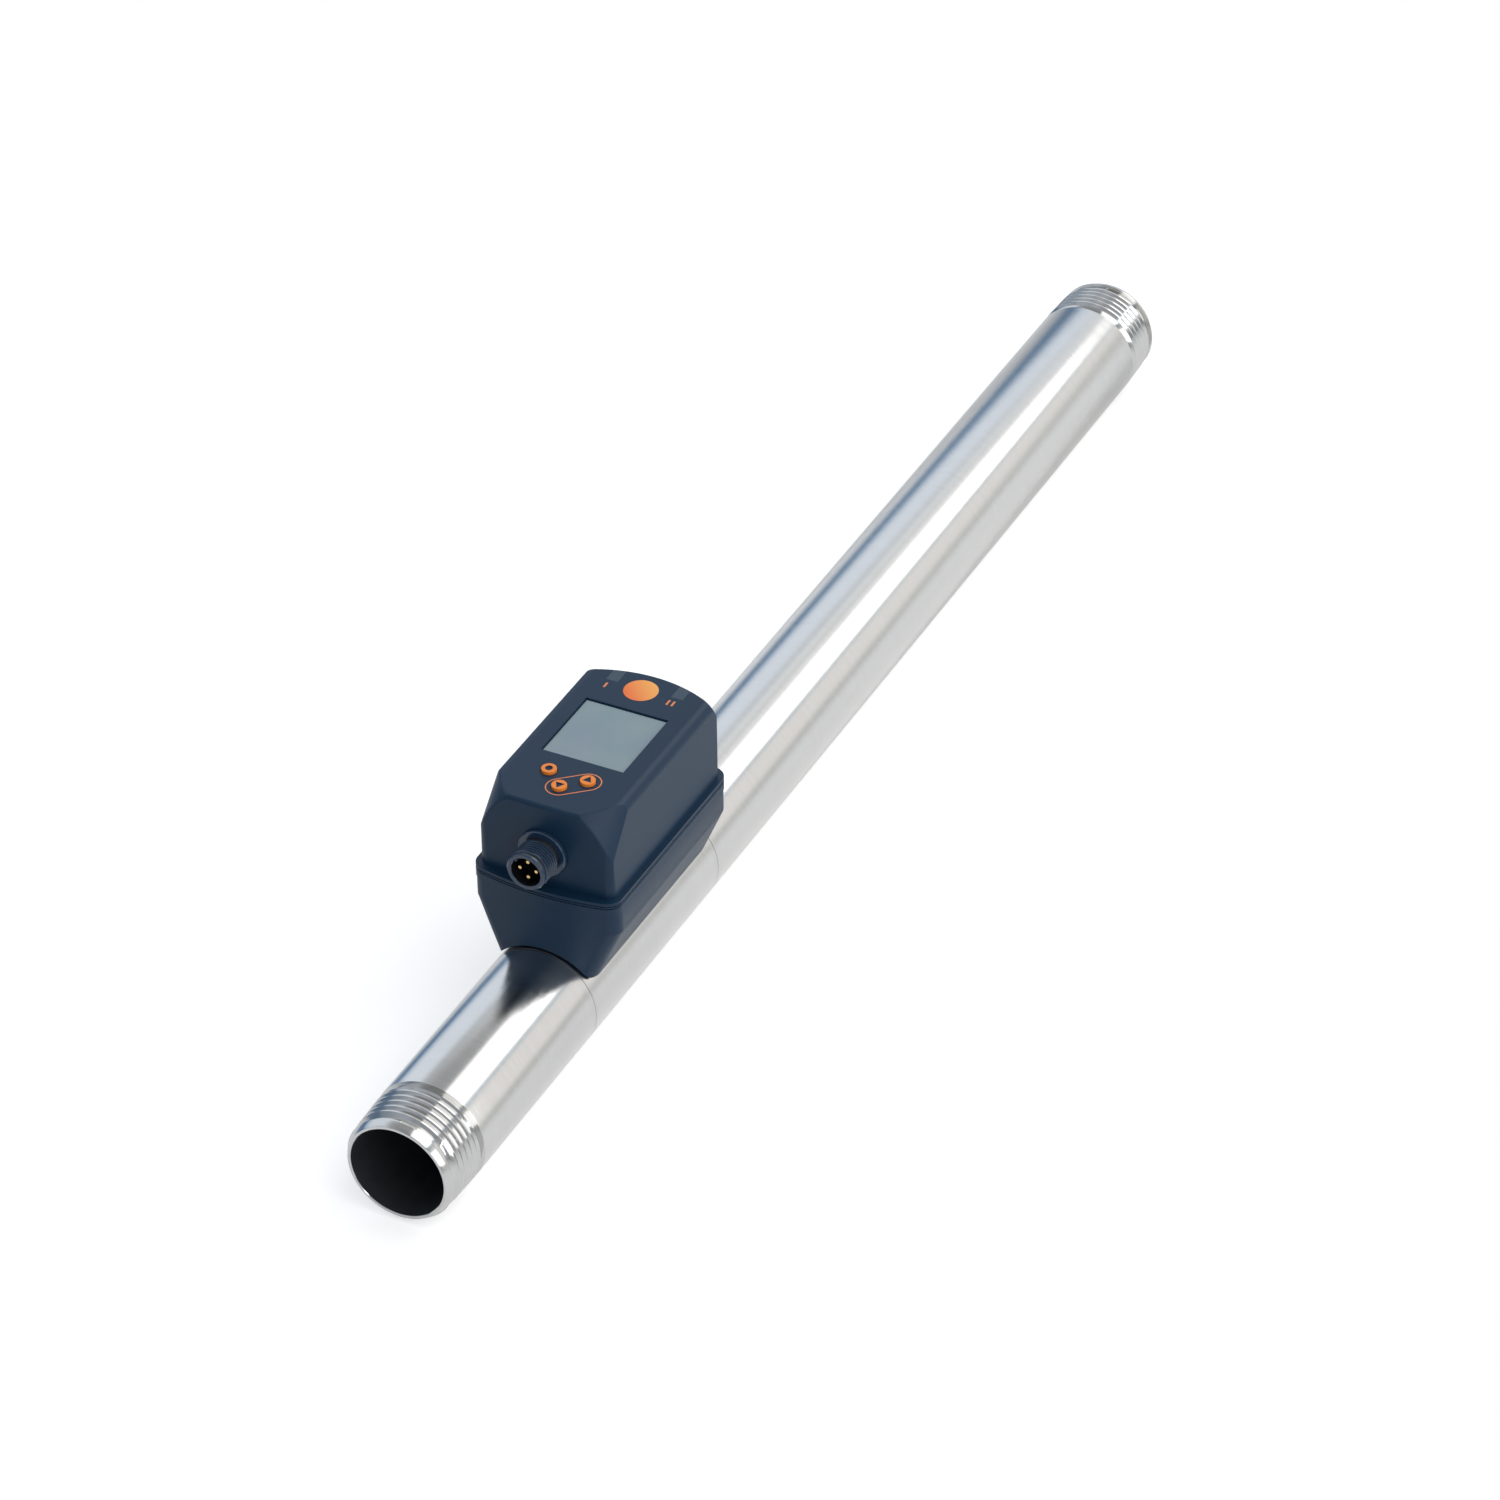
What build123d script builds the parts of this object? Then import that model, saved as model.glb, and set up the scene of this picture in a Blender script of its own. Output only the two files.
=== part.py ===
import os
from math import cos, radians, sin, sqrt, tan

from build123d import *

# In-line compressed air flow meter. The pipe's axis is X, the flow runs towards +X, and the
# origin is the centre of the inlet's end face. +Z points up through the display.

# Pipe
length = 475.0
pipe_diameter = 33.7
pipe_wall = 2.6
section_start = 315.7
section_length = 75.5
weld_groove = 0.25

# Taper pipe thread at both ends, with its turns as rings
thread_length = 19.1
thread_gauge_length = 10.4
thread_gauge_diameter = 33.249
thread_taper = 1 / 16
thread_pitch = 2.309
thread_depth = 1.2
lead_length = 2.3
mouth_rim = 1.0

# Housing, seen in plan, with its middle housing_run from the measuring section's inlet end
housing_run = 38.0
housing_width = 45.0
front_reach = 37.7
back_reach = 36.6
end_bow_radius = 90.0
rim_corner_radius = 4.5
housing_wall = 2.2
end_recess = 0.45

# Housing in height, stacked up from the pipe
floor_rise = 3.75
skirt_rise = 6.4
skirt_angle = 23.5
side_height = 7.0
rim_band_height = 2.2
seal_thickness = 2.0
upper_height = 26.2
foot_drop = 10.1
foot_clearance = 0.7
parting_groove_height = 0.3
parting_groove_depth = 0.45

# Upper housing
ledge_side_width = 1.5
front_ledge = 3.5
back_ledge = 2.5
upper_draft = 2.0
front_bow_radius = 260.0
back_bow_radius = 110.0
shoulder_radius = 3.4
upper_corner_radius = 3.0
nose_margin = 1.3
nose_tilt = 45.0
nose_setback = 13.6
nose_drop = 14.4
nose_softness = 1.2
tail_radius = 46.0
tail_tilt = 30.0
tail_setback = 0.5
top_wall = 3.2
tongue_depth = 3.0
tongue_wall = 1.2
fit_gap = 0.1

# Ridged seal between the shells
seal_groove_depth = 0.35
seal_groove_width = 0.3
seal_ridge_pitch = 0.75

# Display
window_length = 27.2
window_width = 25.6
window_offset = -3.0
window_recess = 0.5
window_thickness = 1.5
window_ledge = 1.2
display_gap = 0.2
display_margin = 2.0
display_height = 4.8

# Buttons
button_radius = 2.2
button_gap = 0.2
button_rise = 0.85
button_flange = 0.8
button_flange_height = 0.8
button_stem_radius = 1.1
button_travel = 0.7
button_rest_gap = 0.05
button_press_gap = 0.25
button_stem_length = 0.4
symbol_depth = 0.3
symbol_radius = 0.95
arrow_radius = 1.1
enter_button_offset = (18.5, -6.1)
down_button_offset = (24.1, 0.0)
up_button_offset = (18.8, 6.1)

# Light guides of the two switching outputs
guide_width = 3.8
guide_spacing = 20.4
guide_run = 7.1
guide_overlap = 1.0
guide_stalk_length = 3.7
guide_stalk_setback = 0.3
lamp_gap = 0.3

# Round connector, M12 with four contacts
connector_drop = 15.4
connector_radius = 6.0
connector_projection = 10.6
collar_radius = 7.4
collar_thickness = 1.5
thread_relief = 0.8
connector_neck_radius = 5.4
socket_radius = 4.5
socket_depth = 8.0
connector_nut_across = 14.0
connector_nut_height = 3.0
connector_nut_gap = 0.2
connector_nut_margin = 1.0
lip_chamfer = 0.4
seal_ring_radius = 6.3
seal_ring_section = 0.9
insert_gap = 0.05
contact_circle = 5.0
contact_radius = 0.5
contact_rise = 6.4
contact_solder_rise = 0.5
key_turn = 45.0
key_width = 1.0
key_height = 0.55

# Sensor
boss_radius = 9.0
boss_rise = 7.65
probe_radius = 6.0
probe_gap = 0.15
probe_depth = 8.0
flange_radius = 8.6
flange_height = 2.5
nut_across = 22.0
nut_wall = 2.0
tip_radius = 1.5
tip_spacing = 6.0
tip_reach = 3.0
tip_chamfer = 0.7
ring_section = 1.2
ring_play = 0.05
nut_lift = 0.4
nut_chamfer = 0.8

# Saddle and screws that hold the housing
saddle_length = 62.0
saddle_width = 22.0
saddle_corner = 3.0
screw_radius = 1.5
screw_head_radius = 2.75
screw_head_height = 2.0
screw_depth = 2.2
screw_pair_width = 14.0
screw_post_gap = 1.65

# Boards
board_thickness = 1.6
board_spacing = 10.5
board_front_room = 7.0
board_back_room = 4.3
board_side_room = 2.3
board_corner = 1.5
post_front_inset = 2.2
post_back_inset = 4.8
post_side_inset = 3.5
post_radius = 2.6
board_screw_radius = 1.2
board_screw_head_radius = 2.1
board_screw_head_height = 1.4
board_screw_length = 5.0
screw_hole_room = 1.0
screw_tip_room = 0.5
thread_play = 0.05
spacer_across = 4.5
header_length = 4.0
header_width = 14.0
header_offset = -20.7
lamp_size = 1.8
lamp_height = 0.7
connector_board_setback = 0.8
connector_board_width = 16.0
connector_board_gap = 0.3
probe_pin_radius = 0.35
probe_pin_pitch = 2.54
probe_pin_rise = 1.0
switch_size = 4.5
plunger_radius = 1.0
plunger_height = 0.6

pipe_radius = pipe_diameter / 2
bore_radius = pipe_radius - pipe_wall
section_end = section_start + section_length
housing_middle = section_start + housing_run
half_width = housing_width / 2
upper_half_width = half_width - ledge_side_width
front_face_reach = front_reach - front_ledge
back_face_reach = back_reach - back_ledge
front_face = housing_middle + front_face_reach
back_face = housing_middle - back_face_reach

floor_height = pipe_radius + floor_rise
foot_height = floor_height - foot_drop
skirt_top = floor_height + skirt_rise
parting_height = skirt_top + side_height
seal_height = parting_height + rim_band_height
ledge_height = seal_height + seal_thickness
top_height = ledge_height + upper_height
ceiling_height = top_height - top_wall
connector_height = top_height - connector_drop
boss_height = pipe_radius + boss_rise

display_top = ceiling_height - display_gap
display_board_top = display_top - display_height
display_board_height = display_board_top - board_thickness
main_board_top = display_board_height - board_spacing
main_board_height = main_board_top - board_thickness
board_front = front_face - board_front_room
board_back = back_face + board_back_room
board_length = board_front - board_back
board_half_width = upper_half_width - housing_wall - board_side_room

top_plane = Plane.XY.offset(top_height)
window_place = (housing_middle + window_offset, 0)

os.makedirs("parts", exist_ok=True)


def save(part, label):
    part.label = label
    export_step(part, f"parts/{label}.step")


def from_middle(offset):
    return (housing_middle + offset[0], offset[1])


def four_places(back, front, side):
    return [(x, y) for x in (back, front) for y in (-side, side)]


post_back = board_back + post_back_inset
post_front = board_front - post_front_inset
post_places = four_places(post_back, post_front, board_half_width - post_side_inset)
screw_run = post_radius + screw_head_radius + screw_post_gap
screw_places = four_places(post_back + screw_run, post_front - screw_run, screw_pair_width / 2)
button_offsets = [enter_button_offset, down_button_offset, up_button_offset]
button_places = [from_middle(offset) for offset in button_offsets]


# Pipe pieces


def crest_radius(distance):
    crest = (thread_gauge_diameter + (distance - thread_gauge_length) * thread_taper) / 2
    return min(crest, pipe_radius)


def pipe_end(end_x, inward, joint_x):
    """A pipe from its threaded mouth at end_x to its welded joint, with inward +1 or -1."""
    outline = [(end_x, bore_radius), (end_x, bore_radius + mouth_rim)]
    crest = lead_length
    while crest + thread_pitch < thread_length:
        root = crest + thread_pitch / 2
        outline.append((end_x + inward * crest, crest_radius(crest)))
        outline.append((end_x + inward * root, crest_radius(root) - thread_depth))
        crest += thread_pitch
    outline += [
        (end_x + inward * crest, crest_radius(crest)),
        (joint_x - inward * weld_groove, pipe_radius),
        (joint_x, pipe_radius - weld_groove),
        (joint_x, bore_radius),
    ]
    with BuildPart() as pipe:
        with BuildSketch(Plane.XZ):
            with BuildLine():
                Polyline(*outline, close=True)
            make_face()
        revolve(axis=Axis.X)
    return pipe.part


save(pipe_end(0, 1, section_start), "inlet_pipe")
save(pipe_end(length, -1, section_end), "outlet_pipe")

probe_hole_radius = probe_radius + probe_gap
with BuildPart() as sensor_section:
    with BuildSketch(Plane.XZ):
        with BuildLine():
            Polyline(
                (section_start, bore_radius),
                (section_start, pipe_radius - weld_groove),
                (section_start + weld_groove, pipe_radius),
                (section_end - weld_groove, pipe_radius),
                (section_end, pipe_radius - weld_groove),
                (section_end, bore_radius),
                close=True,
            )
        make_face()
    revolve(axis=Axis.X)
    with BuildSketch(Plane.XY):
        with Locations((housing_middle, 0)):
            Circle(probe_hole_radius)
    extrude(amount=pipe_diameter, mode=Mode.SUBTRACT)
save(sensor_section.part, "sensor_section")


# Sensor boss, probe and nut

with BuildPart() as pipe_core:
    with BuildSketch(Plane.YZ.offset(section_start)):
        Circle(pipe_radius)
    extrude(amount=section_length)

with BuildPart() as sensor_boss:
    with BuildSketch(Plane.XY.offset(bore_radius)):
        with Locations((housing_middle, 0)):
            Circle(boss_radius)
            Circle(probe_hole_radius, mode=Mode.SUBTRACT)
    extrude(amount=boss_height - bore_radius)
    add(pipe_core.part, mode=Mode.SUBTRACT)
save(sensor_boss.part, "sensor_boss")

ring_height = (pipe_radius + boss_height) / 2
groove_radius = probe_hole_radius - ring_section - ring_play
with BuildPart() as sensor_probe:
    with BuildSketch(Plane.XY.offset(probe_depth)):
        with Locations((housing_middle, 0)):
            Circle(probe_radius)
    extrude(amount=boss_height - probe_depth)
    with BuildSketch(Plane.XY.offset(boss_height)):
        with Locations((housing_middle, 0)):
            Circle(flange_radius)
    extrude(amount=flange_height)
    with BuildSketch(Plane.XY.offset(ring_height - ring_section / 2)):
        with Locations((housing_middle, 0)):
            Circle(probe_radius)
            Circle(groove_radius, mode=Mode.SUBTRACT)
    extrude(amount=ring_section, mode=Mode.SUBTRACT)
save(sensor_probe.part, "sensor_probe")

with BuildPart() as probe_seal:
    with BuildSketch(Plane.XY.offset(ring_height - ring_section / 2)):
        with Locations((housing_middle, 0)):
            Circle(probe_hole_radius)
            Circle(probe_hole_radius - ring_section, mode=Mode.SUBTRACT)
    extrude(amount=ring_section)
save(probe_seal.part, "probe_seal")


def sensor_tip(offset):
    tip_x = housing_middle + offset
    with BuildPart() as tip:
        with BuildSketch(Plane.XY.offset(probe_depth)):
            with Locations((tip_x, 0)):
                Circle(tip_radius)
        extrude(amount=-probe_depth - tip_reach)
        chamfer(tip.edges().sort_by(Axis.Z)[0], tip_chamfer)
    return tip.part


save(sensor_tip(-tip_spacing / 2), "heated_sensor_tip")
save(sensor_tip(tip_spacing / 2), "reference_sensor_tip")

nut_base = floor_height + nut_lift
with BuildPart() as probe_nut:
    with BuildSketch(Plane.XY.offset(nut_base)):
        with Locations((housing_middle, 0)):
            RegularPolygon(nut_across / 2, 6, major_radius=False)
            Circle(boss_radius + fit_gap, mode=Mode.SUBTRACT)
    extrude(amount=boss_height + flange_height - nut_base)
    with BuildSketch(Plane.XY.offset(boss_height + flange_height)):
        with Locations((housing_middle, 0)):
            RegularPolygon(nut_across / 2, 6, major_radius=False)
            Circle(probe_radius, mode=Mode.SUBTRACT)
    extrude(amount=nut_wall)
    chamfer(probe_nut.faces().sort_by(Axis.Z)[-1].outer_wire().edges(), nut_chamfer)
save(probe_nut.part, "probe_nut")


# Saddle that carries the housing

with BuildPart() as housing_saddle:
    with BuildSketch(Plane.XY.offset(bore_radius)):
        with Locations((housing_middle, 0)):
            RectangleRounded(saddle_length, saddle_width, saddle_corner)
            Circle(boss_radius + fit_gap, mode=Mode.SUBTRACT)
    extrude(amount=floor_height - housing_wall - bore_radius)
    with BuildSketch(Plane.XY.offset(floor_height - housing_wall)):
        with Locations(*screw_places):
            Circle(screw_radius)
    extrude(amount=-screw_depth, mode=Mode.SUBTRACT)
    add(pipe_core.part, mode=Mode.SUBTRACT)
save(housing_saddle.part, "housing_saddle")

with BuildPart() as housing_screws:
    with BuildSketch(Plane.XY.offset(floor_height)):
        with Locations(*screw_places):
            Circle(screw_head_radius)
    extrude(amount=screw_head_height)
    with BuildSketch(Plane.XY.offset(floor_height)):
        with Locations(*screw_places):
            Circle(screw_radius - thread_play)
    extrude(amount=-housing_wall - screw_depth)
save(housing_screws.part, "housing_screws")


# Housing outlines in plan and in section


def bow_drop(radius, reach):
    return radius - sqrt(radius**2 - reach**2)


def plan_outline(front, back, width, front_radius, back_radius):
    """A closed outline with straight sides and bowed ends, from the middle of the housing."""
    front_x = housing_middle + front
    back_x = housing_middle - back
    front_corner = front_x - bow_drop(front_radius, width)
    back_corner = back_x + bow_drop(back_radius, width)
    with BuildSketch() as outline:
        with BuildLine():
            ThreePointArc((front_corner, -width), (front_x, 0), (front_corner, width))
            Line((front_corner, width), (back_corner, width))
            ThreePointArc((back_corner, width), (back_x, 0), (back_corner, -width))
            Line((back_corner, -width), (front_corner, -width))
        make_face()
    return outline.sketch


def rim_outline(inset, corner):
    outline = plan_outline(
        front_reach - inset,
        back_reach - inset,
        half_width - inset,
        end_bow_radius - inset,
        end_bow_radius - inset,
    )
    with BuildSketch() as rounded:
        add(outline)
        fillet(rounded.vertices(), corner)
    return rounded.sketch


def upper_outline(inset):
    """The upper shell's plan, drawn in by inset. The seal and the shells share it."""
    outline = plan_outline(
        front_face_reach - inset,
        back_face_reach - inset,
        upper_half_width - inset,
        front_bow_radius,
        back_bow_radius,
    )
    with BuildSketch() as rounded:
        add(outline)
        fillet(rounded.vertices(), max(upper_corner_radius - inset / 2, 1.0))
    return rounded.sketch


def tail_origin():
    """A point on the axis of the tail cut, which leaves the top's back edge at its middle."""
    back_edge = back_face + bow_drop(back_bow_radius, 0) + tail_setback
    return (back_edge + tail_radius / cos(radians(tail_tilt)), 0, top_height)


def upper_form(inset, base, ceiling):
    """The upper shell's outer form, drawn in by inset: walls, shoulders, nose and tail cuts."""
    width = upper_half_width - inset
    drawn_in = (ceiling - base) * tan(radians(upper_draft))
    shoulder = shoulder_radius - min(inset, 2.0)
    with BuildPart() as form:
        with BuildSketch(Plane.YZ.offset(back_face + inset)):
            with BuildLine():
                section = Polyline(
                    (-width, base),
                    (width, base),
                    (width - drawn_in, ceiling),
                    (drawn_in - width, ceiling),
                    close=True,
                )
            make_face()
            fillet(section.vertices().group_by(Axis.Y)[-1], shoulder)
        extrude(amount=front_face_reach + back_face_reach - 2 * inset)
        with BuildSketch(Plane.XY):
            add(upper_outline(inset))
        extrude(amount=top_height, mode=Mode.INTERSECT)
        nose_plane = Plane(
            origin=(front_face - nose_setback, 0, top_height - nose_drop),
            x_dir=(0, 1, 0),
            z_dir=(sin(radians(nose_tilt)), 0, -cos(radians(nose_tilt))),
        )
        with BuildSketch(nose_plane):
            with Locations((0, housing_width)):
                Rectangle(2 * housing_width, 2 * housing_width)
            Circle(upper_half_width + nose_margin - inset, mode=Mode.SUBTRACT)
        extrude(amount=housing_width, both=True, mode=Mode.SUBTRACT)
        tail_plane = Plane(
            origin=tail_origin(),
            x_dir=(0, 1, 0),
            z_dir=(-sin(radians(tail_tilt)), 0, -cos(radians(tail_tilt))),
        )
        with BuildSketch(tail_plane):
            with Locations((0, -housing_width)):
                Rectangle(2 * housing_width, 2 * housing_width)
            Circle(tail_radius - inset, mode=Mode.SUBTRACT)
        extrude(amount=housing_width, both=True, mode=Mode.SUBTRACT)
    return form.part


# Lower housing: a saddle over the pipe, an open tray above it and a rim band

saddle_bore = pipe_radius + foot_clearance


def skirt_section(width, base, foot_width):
    """A section across the pipe: a skirt inclined from base up to skirt_top, then upright."""
    with BuildSketch() as section:
        with BuildLine():
            Polyline(
                (-foot_width, base),
                (foot_width, base),
                (width, skirt_top),
                (width, parting_height),
                (-width, parting_height),
                (-width, skirt_top),
                close=True,
            )
        make_face()
    return section.sketch


def end_grooves():
    """Two bars along the bowed ends, whose inner faces lie inside the lower shell's ends."""
    depth = end_recess + parting_groove_depth
    with BuildSketch() as bars:
        with Locations((housing_middle, 0)):
            Rectangle(2 * housing_width, 2 * housing_width)
        add(
            plan_outline(
                front_reach - depth,
                back_reach - depth,
                half_width + fit_gap,
                end_bow_radius,
                end_bow_radius,
            ),
            mode=Mode.SUBTRACT,
        )
    return bars.sketch


def tray_form():
    """The room inside the lower shell, as wide at its mouth as the upper shell's inside."""
    slope = (skirt_top - floor_height) * tan(radians(skirt_angle))
    foot_width = half_width - housing_wall / cos(radians(skirt_angle)) - slope
    with BuildPart() as tray:
        with BuildSketch(Plane.YZ.offset(housing_middle - back_reach)):
            add(skirt_section(upper_half_width - housing_wall, floor_height, foot_width))
        extrude(amount=front_reach + back_reach)
        with BuildSketch(Plane.XY):
            add(upper_outline(housing_wall))
        extrude(amount=top_height, mode=Mode.INTERSECT)
    return tray.part


def on_corner(edge):
    """True for the upright and inclined edges between the lower shell's sides and ends."""
    return edge.bounding_box().size.Z > side_height / 2


with BuildPart() as lower_housing:
    skirt_foot = half_width - (skirt_top - foot_height) * tan(radians(skirt_angle))
    with BuildSketch(Plane.YZ.offset(housing_middle - back_reach)):
        add(skirt_section(half_width, foot_height, skirt_foot))
    extrude(amount=front_reach + back_reach)
    with BuildSketch(Plane.XY):
        add(
            plan_outline(
                front_reach - end_recess,
                back_reach - end_recess,
                half_width,
                end_bow_radius,
                end_bow_radius,
            )
        )
    extrude(amount=top_height, mode=Mode.INTERSECT)
    fillet(lower_housing.edges().filter_by(on_corner), rim_corner_radius)
    with BuildSketch(Plane.XY.offset(parting_height)):
        add(rim_outline(0, rim_corner_radius))
    extrude(amount=seal_height - parting_height)
    with BuildSketch(Plane.XY.offset(parting_height)):
        add(upper_outline(housing_wall))
    extrude(amount=seal_height - parting_height, mode=Mode.SUBTRACT)
    with BuildSketch(Plane.XY.offset(parting_height)):
        add(end_grooves())
    extrude(amount=-parting_groove_height, mode=Mode.SUBTRACT)
    add(tray_form(), mode=Mode.SUBTRACT)
    with BuildSketch(Plane.YZ.offset(housing_middle - front_reach)):
        Circle(saddle_bore)
    extrude(amount=2 * front_reach, mode=Mode.SUBTRACT)
    with BuildSketch(Plane.XY):
        with Locations((housing_middle, 0)):
            RectangleRounded(
                saddle_length + 2 * fit_gap,
                saddle_width + 2 * fit_gap,
                saddle_corner + fit_gap,
            )
    extrude(amount=floor_height - housing_wall, mode=Mode.SUBTRACT)
    with BuildSketch(Plane.XY):
        with Locations((housing_middle, 0)):
            Circle(boss_radius + fit_gap)
    extrude(amount=floor_height + fit_gap, mode=Mode.SUBTRACT)
    with BuildSketch(Plane.XY):
        with Locations(*screw_places):
            Circle(screw_radius + fit_gap)
    extrude(amount=floor_height + fit_gap, mode=Mode.SUBTRACT)
    with BuildSketch(Plane.XY.offset(floor_height)):
        with Locations(*post_places):
            Circle(post_radius)
    extrude(amount=main_board_height - floor_height)
    with BuildSketch(Plane.XY.offset(main_board_height)):
        with Locations(*post_places):
            Circle(board_screw_radius)
    extrude(amount=-board_screw_length - screw_hole_room, mode=Mode.SUBTRACT)
save(lower_housing.part, "lower_housing")


# Seal between the shells, with its ridges standing level with the rim

with BuildPart() as housing_seal:
    with BuildSketch(Plane.XY.offset(seal_height)):
        add(rim_outline(0, rim_corner_radius))
        add(upper_outline(housing_wall), mode=Mode.SUBTRACT)
    extrude(amount=ledge_height - seal_height)
    ridge_count = int((ledge_height - seal_height) / seal_ridge_pitch)
    for ridge in range(ridge_count):
        groove_base = seal_height + ridge * seal_ridge_pitch
        with BuildSketch(Plane.XY.offset(groove_base)):
            add(rim_outline(-fit_gap, rim_corner_radius))
            add(rim_outline(seal_groove_depth, rim_corner_radius), mode=Mode.SUBTRACT)
        extrude(amount=seal_groove_width, mode=Mode.SUBTRACT)
save(housing_seal.part, "housing_seal")


# Upper housing: the closed hood with the window, the button holes and the connector's hole

guide_end = back_face + guide_run
guide_length = guide_run + guide_overlap
guide_middle = guide_end - guide_length / 2
guide_places = [(guide_middle, side * guide_spacing / 2) for side in (-1, 1)]
wall_hole_radius = connector_neck_radius + fit_gap


def on_nose(edge):
    """True for the nose's ridges against the front face and the top, and the edge between."""
    box = edge.bounding_box()
    return box.min.Z > top_height - nose_drop and box.max.X > front_face - ledge_side_width


with BuildPart() as upper_housing:
    add(upper_form(0, ledge_height, top_height))
    fillet(upper_housing.edges().filter_by(on_nose), nose_softness)
    add(upper_form(housing_wall, ledge_height, ceiling_height), mode=Mode.SUBTRACT)
    with BuildSketch(Plane.XY.offset(ledge_height)):
        add(upper_outline(housing_wall - fit_gap))
        add(upper_outline(housing_wall + tongue_wall), mode=Mode.SUBTRACT)
    extrude(amount=tongue_wall)
    with BuildSketch(Plane.XY.offset(ledge_height - tongue_depth)):
        add(upper_outline(housing_wall + fit_gap))
        add(upper_outline(housing_wall + tongue_wall), mode=Mode.SUBTRACT)
    extrude(amount=tongue_depth)
    with BuildSketch(top_plane):
        with Locations(window_place):
            Rectangle(window_length, window_width)
    extrude(amount=-window_recess - window_thickness, mode=Mode.SUBTRACT)
    with BuildSketch(top_plane):
        with Locations(window_place):
            Rectangle(window_length - 2 * window_ledge, window_width - 2 * window_ledge)
    extrude(amount=-top_wall, mode=Mode.SUBTRACT)
    with BuildSketch(top_plane):
        with Locations(*button_places):
            Circle(button_radius + button_gap)
    extrude(amount=-top_wall, mode=Mode.SUBTRACT)
    with BuildSketch(top_plane):
        with Locations(*guide_places):
            Rectangle(guide_length, guide_width)
    extrude(amount=-top_wall, mode=Mode.SUBTRACT)
    with BuildSketch(Plane.YZ.offset(front_face - 2 * housing_wall)):
        with Locations((0, connector_height)):
            Circle(wall_hole_radius)
    extrude(amount=4 * housing_wall, mode=Mode.SUBTRACT)
save(upper_housing.part, "upper_housing")


# Display window, display and boards

with BuildPart() as display_window:
    with BuildSketch(Plane.XY.offset(top_height - window_recess - window_thickness)):
        with Locations(window_place):
            Rectangle(window_length - fit_gap, window_width - fit_gap)
    extrude(amount=window_thickness)
    chamfer(display_window.faces().sort_by(Axis.Z)[-1].edges(), 0.3)
save(display_window.part, "display_window")

with BuildPart() as display_module:
    with BuildSketch(Plane.XY.offset(display_board_top)):
        with Locations(window_place):
            Rectangle(window_length, window_width + 2 * display_margin)
    extrude(amount=display_height)
save(display_module.part, "display_module")

pin_places = [(housing_middle + probe_pin_pitch * (n - 1.5), 0) for n in range(4)]


def board(height):
    with BuildPart() as plate:
        with BuildSketch(Plane.XY.offset(height)):
            with Locations((board_back + board_length / 2, 0)):
                RectangleRounded(board_length, 2 * board_half_width, board_corner)
            with Locations(*post_places):
                Circle(board_screw_radius + fit_gap, mode=Mode.SUBTRACT)
        extrude(amount=board_thickness)
    return plate.part


save(board(display_board_height), "display_board")

with BuildPart() as main_board:
    add(board(main_board_height))
    with BuildSketch(Plane.XY.offset(main_board_height)):
        with Locations(*pin_places):
            Circle(probe_pin_radius + fit_gap)
    extrude(amount=board_thickness, mode=Mode.SUBTRACT)
save(main_board.part, "main_board")

with BuildPart() as probe_pins:
    with BuildSketch(Plane.XY.offset(boss_height + flange_height)):
        with Locations(*pin_places):
            Circle(probe_pin_radius)
    extrude(amount=main_board_top + probe_pin_rise - boss_height - flange_height)
save(probe_pins.part, "probe_pins")

with BuildPart() as board_spacers:
    with BuildSketch(Plane.XY.offset(main_board_top)):
        with Locations(*post_places):
            RegularPolygon(spacer_across / 2, 6, major_radius=False)
    extrude(amount=board_spacing)
    with BuildSketch(Plane.XY.offset(main_board_top)):
        with Locations(*post_places):
            Circle(board_screw_radius - thread_play)
    extrude(amount=-board_thickness - board_screw_length)
    with BuildSketch(Plane.XY.offset(display_board_height)):
        with Locations(*post_places):
            Circle(board_screw_radius)
    extrude(amount=-board_screw_length, mode=Mode.SUBTRACT)
save(board_spacers.part, "board_spacers")

with BuildPart() as board_screws:
    with BuildSketch(Plane.XY.offset(display_board_top)):
        with Locations(*post_places):
            Circle(board_screw_head_radius)
    extrude(amount=board_screw_head_height)
    with BuildSketch(Plane.XY.offset(display_board_top)):
        with Locations(*post_places):
            Circle(board_screw_radius - thread_play)
    extrude(amount=screw_tip_room - board_thickness - board_screw_length)
save(board_screws.part, "board_screws")

with BuildPart() as board_header:
    with BuildSketch(Plane.XY.offset(main_board_top)):
        with Locations((housing_middle + header_offset, 0)):
            Rectangle(header_length, header_width)
    extrude(amount=board_spacing)
save(board_header.part, "board_header")

# Components on the main board: offset from the middle, size in plan and height of each
component_blocks = [
    ((-7.7, -9.0), (9.0, 9.0), 1.4),
    ((-8.7, 7.0), (6.0, 5.0), 1.6),
    ((12.3, 6.0), (7.5, 7.5), 4.5),
    ((12.3, -8.0), (5.0, 4.0), 1.8),
]
with BuildPart() as board_components:
    for offset, size, height in component_blocks:
        with BuildSketch(Plane.XY.offset(main_board_top)):
            with Locations(from_middle(offset)):
                Rectangle(*size)
        extrude(amount=height)
save(board_components.part, "board_components")


# Light guides of the switching outputs, with their lamps

stalk_middle = guide_end - guide_stalk_setback - guide_stalk_length / 2
stalk_depth = ceiling_height - display_board_top - lamp_height - lamp_gap


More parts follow.
